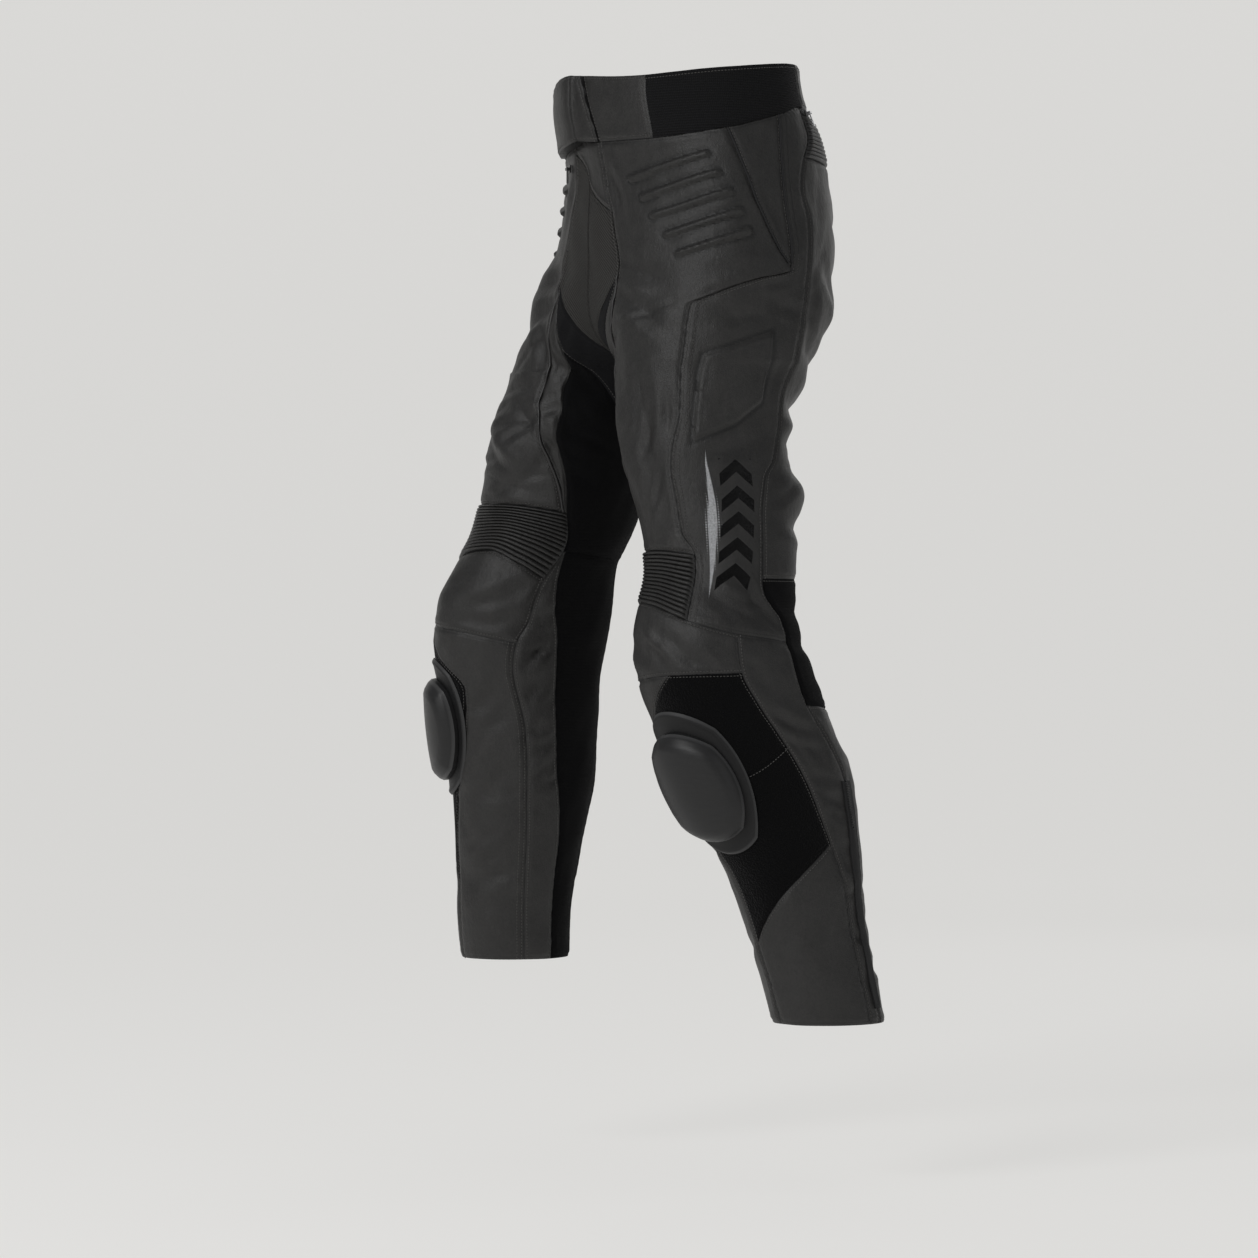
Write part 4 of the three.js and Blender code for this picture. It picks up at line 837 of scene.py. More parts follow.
class Graph:
    def __init__(self, name):
        self.material = bpy.data.materials.new(name)
        self.material.use_nodes = True
        self.nodes = self.material.node_tree.nodes
        self.links = self.material.node_tree.links
        self.nodes.clear()
        self.output = self.nodes.new("ShaderNodeOutputMaterial")

    # Any node: its settings first, then its socket values or links
    def node(self, kind, settings=None, **sockets):
        made = self.nodes.new(kind)
        for key, value in (settings or {}).items():
            setattr(made, key, value)
        for key, value in sockets.items():
            self.feed(made.inputs[key.replace("_", " ")], value)
        return made

    def feed(self, target, value):
        if isinstance(value, Field):
            self.links.new(value.socket, target)
        elif isinstance(value, bpy.types.NodeSocket):
            self.links.new(value, target)
        else:
            target.default_value = value

    def maths(self, operation, *values):
        made = self.nodes.new("ShaderNodeMath")
        made.operation = operation
        for target, value in zip(made.inputs, values):
            self.feed(target, value)
        return Field(self, made.outputs[0])

    def vector(self, operation, *values):
        made = self.nodes.new("ShaderNodeVectorMath")
        made.operation = operation
        for target, value in zip(made.inputs, values):
            self.feed(target, value)
        return made.outputs[0]

    def attribute(self, name):
        return self.node("ShaderNodeAttribute", {"attribute_name": name})

    def number(self, name):
        return Field(self, self.attribute(name).outputs["Fac"])

    # Distance round the leg from the outer side and height on the pattern, in millimetres
    def pattern(self):
        split = self.node("ShaderNodeSeparateXYZ",
                          Vector=self.attribute("pattern").outputs["Vector"])
        return [Field(self, split.outputs[axis]) for axis in "XY"]

    def place(self):
        return self.node("ShaderNodeTexCoord").outputs["Object"]

    def noise(self, vector, scale, detail=3.0, roughness=0.5):
        made = self.node("ShaderNodeTexNoise", Vector=vector, Scale=scale, Detail=detail,
                         Roughness=roughness)
        return Field(self, made.outputs["Fac"])

    def cells(self, vector, scale):
        made = self.node("ShaderNodeTexVoronoi", {"feature": "F1"}, Vector=vector, Scale=scale)
        return Field(self, made.outputs["Distance"])

    def mix(self, share, first, second):
        # Inputs 6 and 7 and output 2 are the ones for colours
        made = self.node("ShaderNodeMix", {"data_type": "RGBA"})
        self.feed(made.inputs["Factor"], share)
        self.feed(made.inputs[6], first)
        self.feed(made.inputs[7], second)
        return made.outputs[2]

    def bump(self, height, strength, distance, normal=None):
        sockets = {"Height": height, "Strength": strength, "Distance": distance}
        if normal is not None:
            sockets["Normal"] = normal
        return self.node("ShaderNodeBump", None, **sockets).outputs["Normal"]

    def shader(self, **sockets):
        return self.node("ShaderNodeBsdfPrincipled", None, **sockets).outputs[0]

    def cover(self, shader):
        self.links.new(shader, self.output.inputs["Surface"])
        return self.material

    def plain_cover(self, **sockets):
        return self.cover(self.shader(**sockets))


def colour(red, green, blue):
    return (red, green, blue, 1.0)


def waves_at(pitch):
    return 2 * math.pi / pitch


LEATHER = colour(0.0215, 0.0205, 0.0195)
LEATHER_LIGHT = colour(0.046, 0.043, 0.041)
LEATHER_DEEP = colour(0.0060, 0.0057, 0.0055)
SEAM_SHADE = colour(0.003, 0.003, 0.003)
GLOSS_BLACK = colour(0.0012, 0.0012, 0.0014)
SILVER = colour(0.62, 0.63, 0.65)
SILVER_SHADE = colour(0.20, 0.20, 0.21)
SHINE = 0.45
STITCH_SHADE_WIDTH = 1.1

# Print on the outer thigh, in pattern millimetres: nested chevrons and a tapered flash
PRINT_PLACE = (-14.0, -440.0)
PRINT_SLANT = 0.10
PRINT_HALF_LENGTH = 66.0
PRINT_HALF_WIDTH = 17.0
PRINT_SHARPNESS = 2.0
CHEVRON_PITCH = 26.0
CHEVRON_WIDTH = 13.0
CHEVRON_SLOPE = 0.85
FLASH_PLACE = 25.0
FLASH_SLANT = 0.06
FLASH_HALF_LENGTH = 78.0
FLASH_WIDTH = 5.0
DOT_PITCH = 2.6


# Chevrons of gloss film and a flash of silver film over the leather
def add_film(g, leather, normal):
    x, y = g.pattern()
    down_leg = y - PRINT_PLACE[1]
    over = x - PRINT_PLACE[0] - down_leg * PRINT_SLANT
    in_length = ((PRINT_HALF_LENGTH - down_leg.absolute()) * PRINT_SHARPNESS).clamp()
    in_width = ((PRINT_HALF_WIDTH - over.absolute()) * PRINT_SHARPNESS).clamp()
    phase = (down_leg + over.absolute() * CHEVRON_SLOPE).wrapped(CHEVRON_PITCH, 0.0)
    band = ((CHEVRON_WIDTH - phase) * PRINT_SHARPNESS).clamp()
    chevrons = band * (phase * PRINT_SHARPNESS).clamp() * in_length * in_width
    from_flash = (over + FLASH_PLACE + down_leg * FLASH_SLANT).absolute()
    taper = (1.0 - (down_leg / FLASH_HALF_LENGTH).absolute()).clamp()
    solid = ((taper * FLASH_WIDTH - from_flash) * PRINT_SHARPNESS).clamp()
    dots = (x * (math.pi / DOT_PITCH)).sine() * (y * (math.pi / DOT_PITCH)).sine()
    spray = ((taper * FLASH_WIDTH * 2.0 - from_flash) * 0.2).clamp()
    dotted = ((dots.absolute() - 1.0 + spray * 0.8) * 6.0).clamp()
    outside = g.number("outside")
    flash = (solid + dotted).clamp() * outside
    crinkle = g.noise(g.place(), 620.0, 4.0, 0.7)
    # Silver film painted lighter and darker in spots by the crinkle noise: painted glints and
    # shade
    painted_glints = (crinkle * 3.0 - 0.75).clamp()
    base = g.mix(flash, GLOSS_BLACK, g.mix(painted_glints, SILVER_SHADE, SILVER))
    film = g.shader(Base_Color=base, Roughness=0.14 + flash * 0.2, Metallic=flash * 0.25,
                    Specular_IOR_Level=0.16, Normal=g.bump(crinkle, 0.9, 0.004, normal))
    mixed = g.node("ShaderNodeMixShader", None, Fac=(chevrons * outside + flash).clamp())
    g.feed(mixed.inputs[1], leather)
    g.feed(mixed.inputs[2], film)
    return mixed.outputs[0]


# Matt leather: mottled, rubbed lighter at the seams and creases, with painted shade in the seams,
# along the stitching and in sunk grooves.
# Noise scales are per metre.
def leather_material(name, printed=False):
    g = Graph(name)
    place = g.place()
    seam_distance = g.number("seam_distance")
    broad = g.noise(place, 11.0, 2.0)
    fine = g.noise(place, 90.0, 4.0, 0.6)
    grain = g.cells(place, 950.0)
    pores = g.noise(place, 1900.0, 2.0)
    creases = g.noise(g.vector("MULTIPLY", place, (1.0, 1.0, 0.45)), 46.0, 5.0, 0.65)
    mottle = g.noise(place, 420.0, 3.0, 0.7)
    tone = (broad * 0.7 + fine * 0.8 + mottle * 1.3 - 0.95).clamp()
    rubbed = (1.0 - seam_distance / 3.5).clamp() * fine
    worn = (rubbed * 0.9 + (creases - 0.56).clamp() * 2.2).clamp()
    # Painted shade in the seam, where the cloth rolls down into it
    painted_seam_shade = (1.0 - (seam_distance - 0.4) / 1.3).clamp()
    # Painted shade along the stitch groove, and on the printed leather along the second row's
    # groove too
    painted_stitch_shade = (1.0 - (seam_distance - STITCH_OFFSET).absolute() / STITCH_SHADE_WIDTH).clamp()
    if printed:
        from_second = (g.number("left_distance") - SECOND_ROW).absolute()
        second_row = (1.0 - from_second / STITCH_SHADE_WIDTH).clamp()
        painted_stitch_shade = (painted_stitch_shade + second_row).clamp()
    # Painted shade in the sunk grooves round the bars and the plateau
    painted_groove_shade = (g.number("raised") * -1.3).clamp()
    base = g.mix(tone, LEATHER_DEEP, LEATHER)
    base = g.mix(worn * 0.55, base, LEATHER_LIGHT)
    # Painted shade: the seam, stitch and groove masks darken the leather colour toward SEAM_SHADE
    for shade in (painted_seam_shade * 0.9, painted_stitch_shade * 0.75, painted_groove_shade * 0.85):
        base = g.mix(shade, base, SEAM_SHADE)
    normal = g.bump(grain * 0.7 + pores * 0.3, 0.5, 0.0006)
    normal = g.bump(creases + fine * 0.4, 0.45, 0.003, normal)
    leather = g.shader(Base_Color=base, Roughness=0.44 + fine * 0.16 - worn * 0.08,
                       Normal=normal, Specular_IOR_Level=SHINE)
    return g.cover(add_film(g, leather, normal) if printed else leather)


# Other cloths: their ribs, cords and threads are sines with a pitch in millimetres
def stretch_material(name, dark, light):
    g = Graph(name)
    x, y = g.pattern()
    ribs = (y * waves_at(1.5) + (x * 1.9).sine() * 0.5).sine()
    twill = ((x + y) * waves_at(1.1)).sine()
    fuzz = g.noise(g.place(), 700.0, 3.0)
    base = g.mix(fuzz, dark, light)
    normal = g.bump(ribs * 0.6 + twill * 0.3 + fuzz * 0.5, 0.5, 0.0005)
    return g.plain_cover(Base_Color=base, Roughness=0.92, Normal=normal,
                         Specular_IOR_Level=0.08, Sheen_Weight=0.015, Sheen_Roughness=0.6)


def weave_material():
    g = Graph("diagonal_weave")
    x, y = g.pattern()
    diagonal = ((x * 0.8 + y) * waves_at(3.6)).sine()
    threads = ((x * 0.8 - y) * waves_at(0.9)).sine()
    fuzz = g.noise(g.place(), 500.0, 3.0)
    share = (diagonal * 0.5 + 0.5) * 0.8 + fuzz * 0.2
    base = g.mix(share, colour(0.004, 0.0039, 0.0037), colour(0.046, 0.044, 0.041))
    normal = g.bump(diagonal + threads * 0.3, 0.6, 0.0006)
    return g.plain_cover(Base_Color=base, Roughness=0.72, Normal=normal, Specular_IOR_Level=0.25)


def elastic_material():
    g = Graph("ribbed_elastic")
    x, y = g.pattern()
    cords = (y * waves_at(2.6)).sine()
    knit = ((x * waves_at(1.6)).sine() + 1.0) * 0.5
    base = g.mix((cords * 0.5 + 0.5) * knit, colour(0.003, 0.003, 0.0035),
                 colour(0.011, 0.011, 0.012))
    normal = g.bump(cords + knit * 0.5, 0.8, 0.0007)
    return g.plain_cover(Base_Color=base, Roughness=0.85, Normal=normal, Specular_IOR_Level=0.2)


def loop_material():
    g = Graph("loop_pile")
    place = g.place()
    pile = g.cells(place, 520.0)
    clumps = g.noise(place, 130.0, 5.0, 0.7)
    speck = ((g.noise(place, 1500.0, 2.0) - 0.62) * 8.0).clamp()
    base = g.mix(speck * clumps, colour(0.0018, 0.0018, 0.002), colour(0.02, 0.02, 0.021))
    normal = g.bump(pile + clumps, 0.9, 0.0011)
    return g.plain_cover(Base_Color=base, Roughness=1.0, Normal=normal,
                         Specular_IOR_Level=0.1, Sheen_Weight=0.06, Sheen_Roughness=0.5)


RUBBED_RIM = colour(0.055, 0.055, 0.056)


# Moulded plastic, scuffed and rubbed lighter at its rim
def plastic_material(name, dark, light, rough, grain_depth):
    g = Graph(name)
    place = g.place()
    grain = g.noise(place, 1300.0, 3.0)
    scuffs = g.noise(g.vector("MULTIPLY", place, (1.0, 1.0, 6.0)), 60.0, 4.0, 0.7)
    base = g.mix(scuffs, dark, light)
    rim = ((g.number("rim") - 0.955) * 45.0).clamp()
    base = g.mix(rim * 0.7, base, RUBBED_RIM)
    normal = g.bump(grain, 0.4, grain_depth)
    return g.plain_cover(Base_Color=base, Roughness=rough + scuffs * 0.14, Normal=normal,
                         Specular_IOR_Level=0.34)


def plain_material(name, tint, rough, metallic=0.0):
    g = Graph(name)
    speckle = g.noise(g.place(), 600.0, 3.0)
    base = g.mix(speckle, tint, colour(*(0.7 * part for part in tint[:3])))
    normal = g.bump(speckle, 0.4, 0.0003)
    return g.plain_cover(Base_Color=base, Roughness=rough, Normal=normal, Metallic=metallic)


MATERIALS = {
    "leather": leather_material("leather"),
    "printed": leather_material("printed_leather", printed=True),
    "stretch": stretch_material("stretch_cloth", colour(0.0012, 0.0012, 0.0014),
                                colour(0.0045, 0.0045, 0.005)),
    "gusset": stretch_material("gusset_cloth", colour(0.005, 0.005, 0.0055),
                               colour(0.011, 0.011, 0.012)),
    "weave": weave_material(),
    "elastic": elastic_material(),
    "loop": loop_material(),
    "plastic": plastic_material("slider_plastic", colour(0.009, 0.009, 0.0095),
                                colour(0.019, 0.019, 0.0195), 0.36, 0.00025),
    "base": plastic_material("base_plate", colour(0.0030, 0.0030, 0.0034),
                             colour(0.007, 0.007, 0.0075), 0.5, 0.0003),
    "tape": plain_material("zip_tape", colour(0.008, 0.008, 0.009), 0.85),
    "teeth": plain_material("zip_teeth", colour(0.013, 0.013, 0.014), 0.35),
    "thread": plain_material("thread", colour(0.066, 0.063, 0.060), 0.6),
    "piping": plain_material("piping", colour(0.016, 0.015, 0.015), 0.42),
    "metal": plain_material("nickel", colour(0.55, 0.55, 0.56), 0.28, 1.0),
    "dark_metal": plain_material("dark_metal", colour(0.06, 0.06, 0.06), 0.35, 0.8),
}


# Ribs: their number, the grid rows to each, and the length over which their ends die away
KNEE_RIBS = {"left": 14, "right": 15}
KNEE_RIB_HEIGHT = 3.2
YOKE_RIBS = 11
YOKE_RIB_HEIGHT = 2.6
ROWS_PER_RIB = 8
RIB_END = 5.0


def rib_shares(ribs):
    return np.linspace(0, 1, ribs * ROWS_PER_RIB + 1)


# Height of ribs: round backs with narrow valleys, dying away at both ends of each rib
def rib_heights(panel, ribs, height):
    phase = (panel.shares * ribs) % 1.0
    back = np.sqrt(np.clip(1 - (2 * phase - 1) ** 2, 0, 1))
    ends = smooth(np.minimum(panel.from_left, panel.from_right) / RIB_END)
    return height * back[:, None] * ends


# Raised bars on the hip, spaced evenly from the lowest to the highest
BAR_COUNT = 5
BAR_HEIGHT = 3.4
BAR_HALF_WIDTH = 3.9
BAR_EDGE = 2.6
GROOVE_DEPTH = 0.9
GROOVE_WIDTH = 1.5
LOWEST_BAR = np.array([[0.352, -168], [0.486, -146]])
HIGHEST_BAR = np.array([[0.238, -88], [0.405, -68]])


# Distance into a round-ended bar between two places, above zero inside it
def into_bar(panel, start, end):
    girth = girth_at(panel.side, np.array(start[1]))
    point = np.stack([panel.u * girth, panel.t], -1)
    a = np.array([start[0] * girth, start[1]])
    b = np.array([end[0] * girth, end[1]])
    step = b - a
    share = np.clip(((point - a) @ step) / (step @ step), 0, 1)
    away = np.linalg.norm(point - a - share[..., None] * step, axis=-1)
    return BAR_HALF_WIDTH - away


def bars(panel):
    total = np.zeros(panel.u.shape)
    for share in np.linspace(0, 1, BAR_COUNT):
        start, end = LOWEST_BAR * (1 - share) + HIGHEST_BAR * share
        into = into_bar(panel, start, end)
        ridge = BAR_HEIGHT * smooth(into / BAR_EDGE)
        total += ridge - GROOVE_DEPTH * bell(into, -GROOVE_WIDTH, GROOVE_WIDTH)
    return total


# Distance into a convex outline of pattern places, above zero inside it
def into_outline(panel, corners):
    girth = girth_at(panel.side, np.array(corners)[:, 1].mean())
    point = np.stack([panel.u * girth, panel.t], -1)
    outline = np.array(corners) * (girth, 1)
    middle = outline.mean(0)
    depth = np.full(panel.u.shape, 1e9)
    for a, b in zip(outline, np.roll(outline, -1, 0)):
        step = (b - a) / np.linalg.norm(b - a)
        across_step = np.array([-step[1], step[0]])
        across_step = across_step * np.sign((middle - a) @ across_step)
        depth = np.minimum(depth, (point - a) @ across_step)
    return depth


# The armour's embossed plateau on the thigh, with a groove round it and a line inside its rim
PLATEAU = [(0.424, -271), (0.537, -245), (0.546, -326), (0.49, -339), (0.409, -373)]
PLATEAU_HEIGHT = 3.7
PLATEAU_EDGE = 4.0


def plateau(panel):
    depth = into_outline(panel, PLATEAU)
    groove = 1.2 * bell(depth, -1.6, 1.8)
    inner_line = 0.5 * bell(depth, 8.0, 1.6)
    return PLATEAU_HEIGHT * smooth(depth / PLATEAU_EDGE) - groove - inner_line


# Cuts a plain panel between four edges, shapes it and shows it
def sew(name, side, slot, left, right, top, bottom, held="hung", look=None, **shape):
    panel = Panel(name, side, left, right, top, bottom)
    panel.shape(**shape)
    show_panel(panel, MATERIALS[look or slot])


def leg_panels(side):
    back_bottom = crossing(OUTER_BACK_LINE, KNEE_BACK_BOTTOM)
    yoke_corner = crossing(OUTER_BACK_LINE, YOKE_BOTTOM)
    split_front = crossing(LOOP_FRONT, LOOP_SPLIT)
    split_back = crossing(LOOP_BACK, LOOP_SPLIT)
    shin_front = crossing(LOOP_FRONT, SHIN_LINE)
    shin_back = crossing(LOOP_BACK, SHIN_LINE)

    def add(name, slot, *edges_and_hold, **rest):
        sew(f"{name}_{side}", side, slot, *edges_and_hold, **rest)

    hip_panel = Panel(f"hip_{side}", side, down(FRONT_LINE, -46, -476.8),
                      down(POCKET_FRONT, -41, -470), across(BAND_BOTTOM, 0.14, 0.45),
                      across(PLEATS_TOP, 0.054, 0.374), step=FINE_STEP)
    hip_panel.shape(raised=bars(hip_panel))
    show_panel(hip_panel, MATERIALS["leather"])
    side_panel = Panel(f"side_{side}", side, down(POCKET_BACK, -25, -535.5),
                       down(OUTER_BACK_LINE, -13, -557), across(BAND_BOTTOM, 0.559, 0.64),
                       across(PLEATS_BOTTOM, 0.375, 0.593), step=FINE_STEP)
    side_panel.shape(raised=plateau(side_panel), second_row=True)
    show_panel(side_panel, MATERIALS["printed"])
    add("pocket", "leather", down(POCKET_FRONT, -41, POCKET_TIP),
        down(POCKET_BACK, -25, POCKET_TIP), across(BAND_BOTTOM, 0.45, 0.559),
        across(POCKET_BOTTOM, 0.5535, 0.5601))
    add("gusset", "leather", down(INSEAM, -262, -350), down(STRIP_TOP, -185, -256),
        across(FLY_BOTTOM, 0, 0.208), across(GUSSET_LINE, 0, 0.168), look="gusset")
    add("inner_strip", "leather", down(INNER_LINE, -256, -478), down(FRONT_LINE, -185, -476.8),
        across(STRIP_TOP, 0.168, 0.208), across(PLEATS_TOP, 0.044, 0.054))
    add("inner_stretch", "stretch", down(INNER_BACK_LINE, -420, -530, -1),
        down(INNER_LINE, -256, -519), across(GUSSET_LINE, -0.2, 0.168),
        across(STRETCH_CROSS, -0.2, 0.018), "stretched")
    add("seat", "leather", down(OUTER_BACK_LINE, yoke_corner[1], -494),
        down(INNER_BACK_LINE, -70, -494), across(YOKE_BOTTOM, yoke_corner[0], 1),
        across(KNEE_BACK_TOP, 0.526, 0.8))
    add("knee_back", "stretch", down(OUTER_BACK_LINE, -494, back_bottom[1]),
        down(INNER_BACK_LINE, -494, -628), across(KNEE_BACK_TOP, 0.526, 0.8),
        across(KNEE_BACK_BOTTOM, back_bottom[0], 0.8), "stretched", fold_share=0.3)
    add("knee", "leather", down(INNER_LINE, -547, -611), down(LOOP_BACK, -549, -588),
        across(PLEATS_BOTTOM, 0.03, 0.475), across(KNEE_BOTTOM, 0.06, 0.471))
    add("calf_outer", "leather", down(LOOP_BACK, -549, HEM), down(OUTER_BACK_LINE, -557, HEM),
        across(PLEATS_BOTTOM, 0.475, 0.593), across(HEM_LINE, 0.568, 0.62))
    add("loop_upper", "loop", down(LOOP_FRONT, -591, split_front[1]),
        down(LOOP_BACK, -588, split_back[1]), across(KNEE_BOTTOM, 0.329, 0.471),
        across(LOOP_SPLIT, split_front[0], split_back[0]), fold_share=0.4)
    add("loop_lower", "loop", down(LOOP_FRONT, split_front[1], shin_front[1]),
        down(LOOP_BACK, split_back[1], shin_back[1]),
        across(LOOP_SPLIT, split_front[0], split_back[0]),
        across(SHIN_LINE, shin_front[0], shin_back[0]), fold_share=0.4)
    add("shin", "leather", down(LOOP_FRONT, shin_front[1], HEM),
        down(LOOP_BACK, shin_back[1], HEM), across(SHIN_LINE, shin_front[0], shin_back[0]),
        across(HEM_LINE, 0.27, 0.568))
    add("shin_inner", "leather", down(INNER_LINE, -611, HEM), down(LOOP_FRONT, -591, HEM),
        across(KNEE_BOTTOM, 0.06, 0.329), across(HEM_LINE, 0.03, 0.27))
    add("calf_inner", "leather", down(STRETCH_LINE, -519.4, HEM), down(INNER_LINE, -519, HEM),
        across(STRETCH_CROSS, 0.012, 0.018), across(HEM_LINE, -0.06, 0.03))
    add("calf_stretch", "stretch", down(INNER_BACK_LINE, -530, HEM, -1),
        down(STRETCH_LINE, -519.4, HEM), across(STRETCH_CROSS, -0.2, 0.012),
        across(HEM_LINE, -0.21, -0.06), "stretched")
    add("calf_back", "leather", down(OUTER_BACK_LINE, back_bottom[1], HEM),
        down(INNER_BACK_LINE, -628, HEM), across(KNEE_BACK_BOTTOM, back_bottom[0], 0.8),
        across(HEM_LINE, 0.62, 0.79))
    pleats = Panel(f"knee_pleats_{side}", side, down(INNER_LINE, -478, -547),
                   down(POCKET_BACK, -470, -535.5), across(PLEATS_TOP, 0.044, 0.374),
                   across(PLEATS_BOTTOM, 0.03, 0.375), rows=rib_shares(KNEE_RIBS[side]))
    ribs = rib_heights(pleats, KNEE_RIBS[side], KNEE_RIB_HEIGHT)
    pleats.shape(roll=0.6, pucker=0.0, raised=ribs, fold_share=0.6)
    show_panel(pleats, MATERIALS["leather"])


# The closing tab stands off the waistband in a soft bulge
TAB_MIDDLE = -0.1
TAB_SPREAD = 0.17
TAB_HEIGHT = 14.0


def waist_panels():
    tab = Panel("waistband_right_front", "right", mirrored(down(TAB_EDGE, 23, -46), 0),
                down(ELASTIC_FRONT, 15, -49), across(BAND_TOP, -0.08, 0.3),
                across(BAND_BOTTOM, -0.14, 0.3))
    bulge = TAB_HEIGHT * bell(-tab.u, TAB_MIDDLE, TAB_SPREAD)
    tab.shape(lift=BAND_LIFT + bulge, wall=BAND_WALL, fold_share=0.3)
    tab.inner = tab.base + tab.normal * (BAND_LIFT - BAND_WALL)
    padded_tab = show_panel(tab, MATERIALS["leather"])
    sew("waistband_left_front", "left", "leather", down(TAB_EDGE, 23, -46),
        down(ELASTIC_FRONT, 15, -49), across(BAND_TOP, 0.08, 0.3),
        across(BAND_BOTTOM, 0.14, 0.3), lift=BAND_LIFT, wall=BAND_WALL, fold_share=0.4)
    for side in SIDES:
        sew(f"waistband_elastic_{side}", side, "elastic", down(ELASTIC_FRONT, 15, -49),
            down(ELASTIC_BACK, 31.5, -12.8), across(BAND_TOP, 0.3, 0.655),
            across(BAND_BOTTOM, 0.3, 0.655), "stretched", lift=BAND_LIFT, wall=BAND_WALL,
            fold_share=0.5)
    sew("waistband_back", "left", "leather", down(ELASTIC_BACK, 31.5, -12.8),
        mirrored(down(ELASTIC_BACK, 31.5, -12.8), 1), across(BAND_TOP, 0.655, 1.345),
        across(BAND_BOTTOM, 0.655, 1.345), lift=BAND_LIFT, wall=BAND_WALL, fold_share=0.5)
    sew("fly_leather", "left", "leather", mirrored(down(FRONT_LINE, -46, -54), 0),
        down(FRONT_LINE, -46, -120), across(BAND_BOTTOM, -0.14, 0.14),
        across(FLY_TOP_EDGE, -0.142, 0.178))
    sew("fly_panel_left", "left", "weave", down(FLY_MIDDLE, -84, -262),
        down(FRONT_LINE, -120, -185), across(FLY_TOP_EDGE, 0, 0.178),
        across(FLY_BOTTOM, 0, 0.208), roll=0.5)
    sew("fly_panel_right", "left", "weave", mirrored(down(FRONT_LINE, -54, -185), 0),
        down(FLY_MIDDLE, -84, -262), across(FLY_TOP_EDGE, -0.142, 0),
        across(FLY_BOTTOM, -0.208, 0), roll=0.5)
    sew("connection_zip_tape", "left", "tape", down(OUTER_BACK_LINE, -13, -22),
        mirrored(down(OUTER_BACK_LINE, -13, -22), 1), across(BAND_BOTTOM, 0.64, 1.36),
        across(ZIP_BOTTOM, 0.639, 1.361))
    corner = crossing(OUTER_BACK_LINE, YOKE_BOTTOM)
    yoke = Panel("seat_yoke", "left", down(OUTER_BACK_LINE, -22, corner[1]),
                 mirrored(down(OUTER_BACK_LINE, -22, corner[1]), 1),
                 across(ZIP_BOTTOM, 0.639, 1.361),
                 across(YOKE_BOTTOM, corner[0], 2 - corner[0]), rows=rib_shares(YOKE_RIBS))
    ribs = rib_heights(yoke, YOKE_RIBS, YOKE_RIB_HEIGHT)
    yoke.shape(roll=0.5, pucker=0.0, raised=ribs, fold_share=0.5)
    show_panel(yoke, MATERIALS["leather"])


for side_name in SIDES:
    leg_panels(side_name)
waist_panels()

# Knee sliders: a base plate and a puck, each a disc on the pattern. Heights are above the cloth.
SLIDER_U = 0.302
DISC_POINTS = 45
ROUNDING = 0.42
PLATE = {"t": -697.0, "half_width": 51.0, "half_height": 71.0, "foot": 0.8, "wall": 2.6}
PUCK = {"t": -699.0, "half_width": 42.0, "half_height": 53.0, "foot": 3.9, "edge": 7.0,
        "crown": 12.0, "face": 0.79}


# A rounded place on the pattern around the slider, and how near each point is to its rim
def disc(side, size):
    t = size["t"]
    count = DISC_POINTS
    span = 0.01
    gap = surface(side, SLIDER_U + span, t) - surface(side, SLIDER_U - span, t)
    per_u = np.linalg.norm(gap) / (2 * span)
    line = np.sin(np.linspace(-math.pi / 2, math.pi / 2, count))
    a = line[None, :] * np.ones((count, 1))
    b = -line[:, None] * np.ones((1, count))
    x = a * np.sqrt(1 - ROUNDING * b * b)
    y = b * np.sqrt(1 - ROUNDING * a * a)
    u = SLIDER_U + x * size["half_width"] / per_u
    height = t + y * size["half_height"]
    most = np.maximum(np.abs(x), np.abs(y))
    small = np.minimum(np.abs(x), np.abs(y)) / np.maximum(most, 1e-9)
    corner = small ** 2 / (1 - ROUNDING + ROUNDING * small ** 2)
    rim = np.sqrt(1 + (1 - 2 * ROUNDING) * corner)
    return u, height, np.hypot(x, y) / rim


def slider_piece(name, slot, side, size, height_at):
    u, t, reach = disc(side, size)
    base = surface(side, u, t)
    normal = outward(side, u, t)
    outer = base + normal * height_at(reach)[..., None]
    under = base + normal * size["foot"]
    rim = np.concatenate([reach.ravel(), np.zeros(reach.size)])
    obj = make_shell(f"{name}_{side}_moulded", outer, under, [("rim", "FLOAT", rim)], 35)
    obj.data.materials.append(MATERIALS[slot])
    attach(obj, BODY)
    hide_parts(f"{name}_{side}")


# A flat plate with a raised bead near its rim and a rounded edge
def plate_height(reach):
    bead = 0.9 * bell(reach, 0.94, 0.03)
    bevel = 1.6 * smooth((reach - 0.965) / 0.035)
    return PLATE["foot"] + PLATE["wall"] + bead - bevel


# A low dome as far as its face reaches, a groove there, then a slope down to a rounded edge
def puck_height(reach):
    face = PUCK["face"]
    dome = 1 - 0.22 * np.minimum(reach / face, 1) ** 2
    slope = 1 - np.clip((reach - face) / (1 - face), 0, 1) ** 1.15
    bevel = 2.0 * smooth((reach - 0.95) / 0.05)
    groove = 0.8 * bell(reach, face, 0.02)
    return PUCK["foot"] + PUCK["edge"] + PUCK["crown"] * dome * slope - bevel - groove


for side_name in SIDES:
    slider_piece("slider_base", "base", side_name, PLATE, plate_height)
    slider_piece("slider", "plastic", side_name, PUCK, puck_height)


# A polyline resampled to even steps, with the normals that go with it
def even_steps(points, normals, pitch):
    lengths = np.concatenate([[0], np.cumsum(np.linalg.norm(np.diff(points, axis=0), axis=1))])
    at = np.arange(pitch / 2, lengths[-1], pitch)
    line = np.stack([np.interp(at, lengths, points[:, k]) for k in range(3)], -1)
    out = unit(np.stack([np.interp(at, lengths, normals[:, k]) for k in range(3)], -1))
    return line, out


# Line on a panel at a distance from one of its edges. It leaves out the rows of the grid that are
# too narrow for the distance.
ROOM_BESIDE_LINE = 2.4


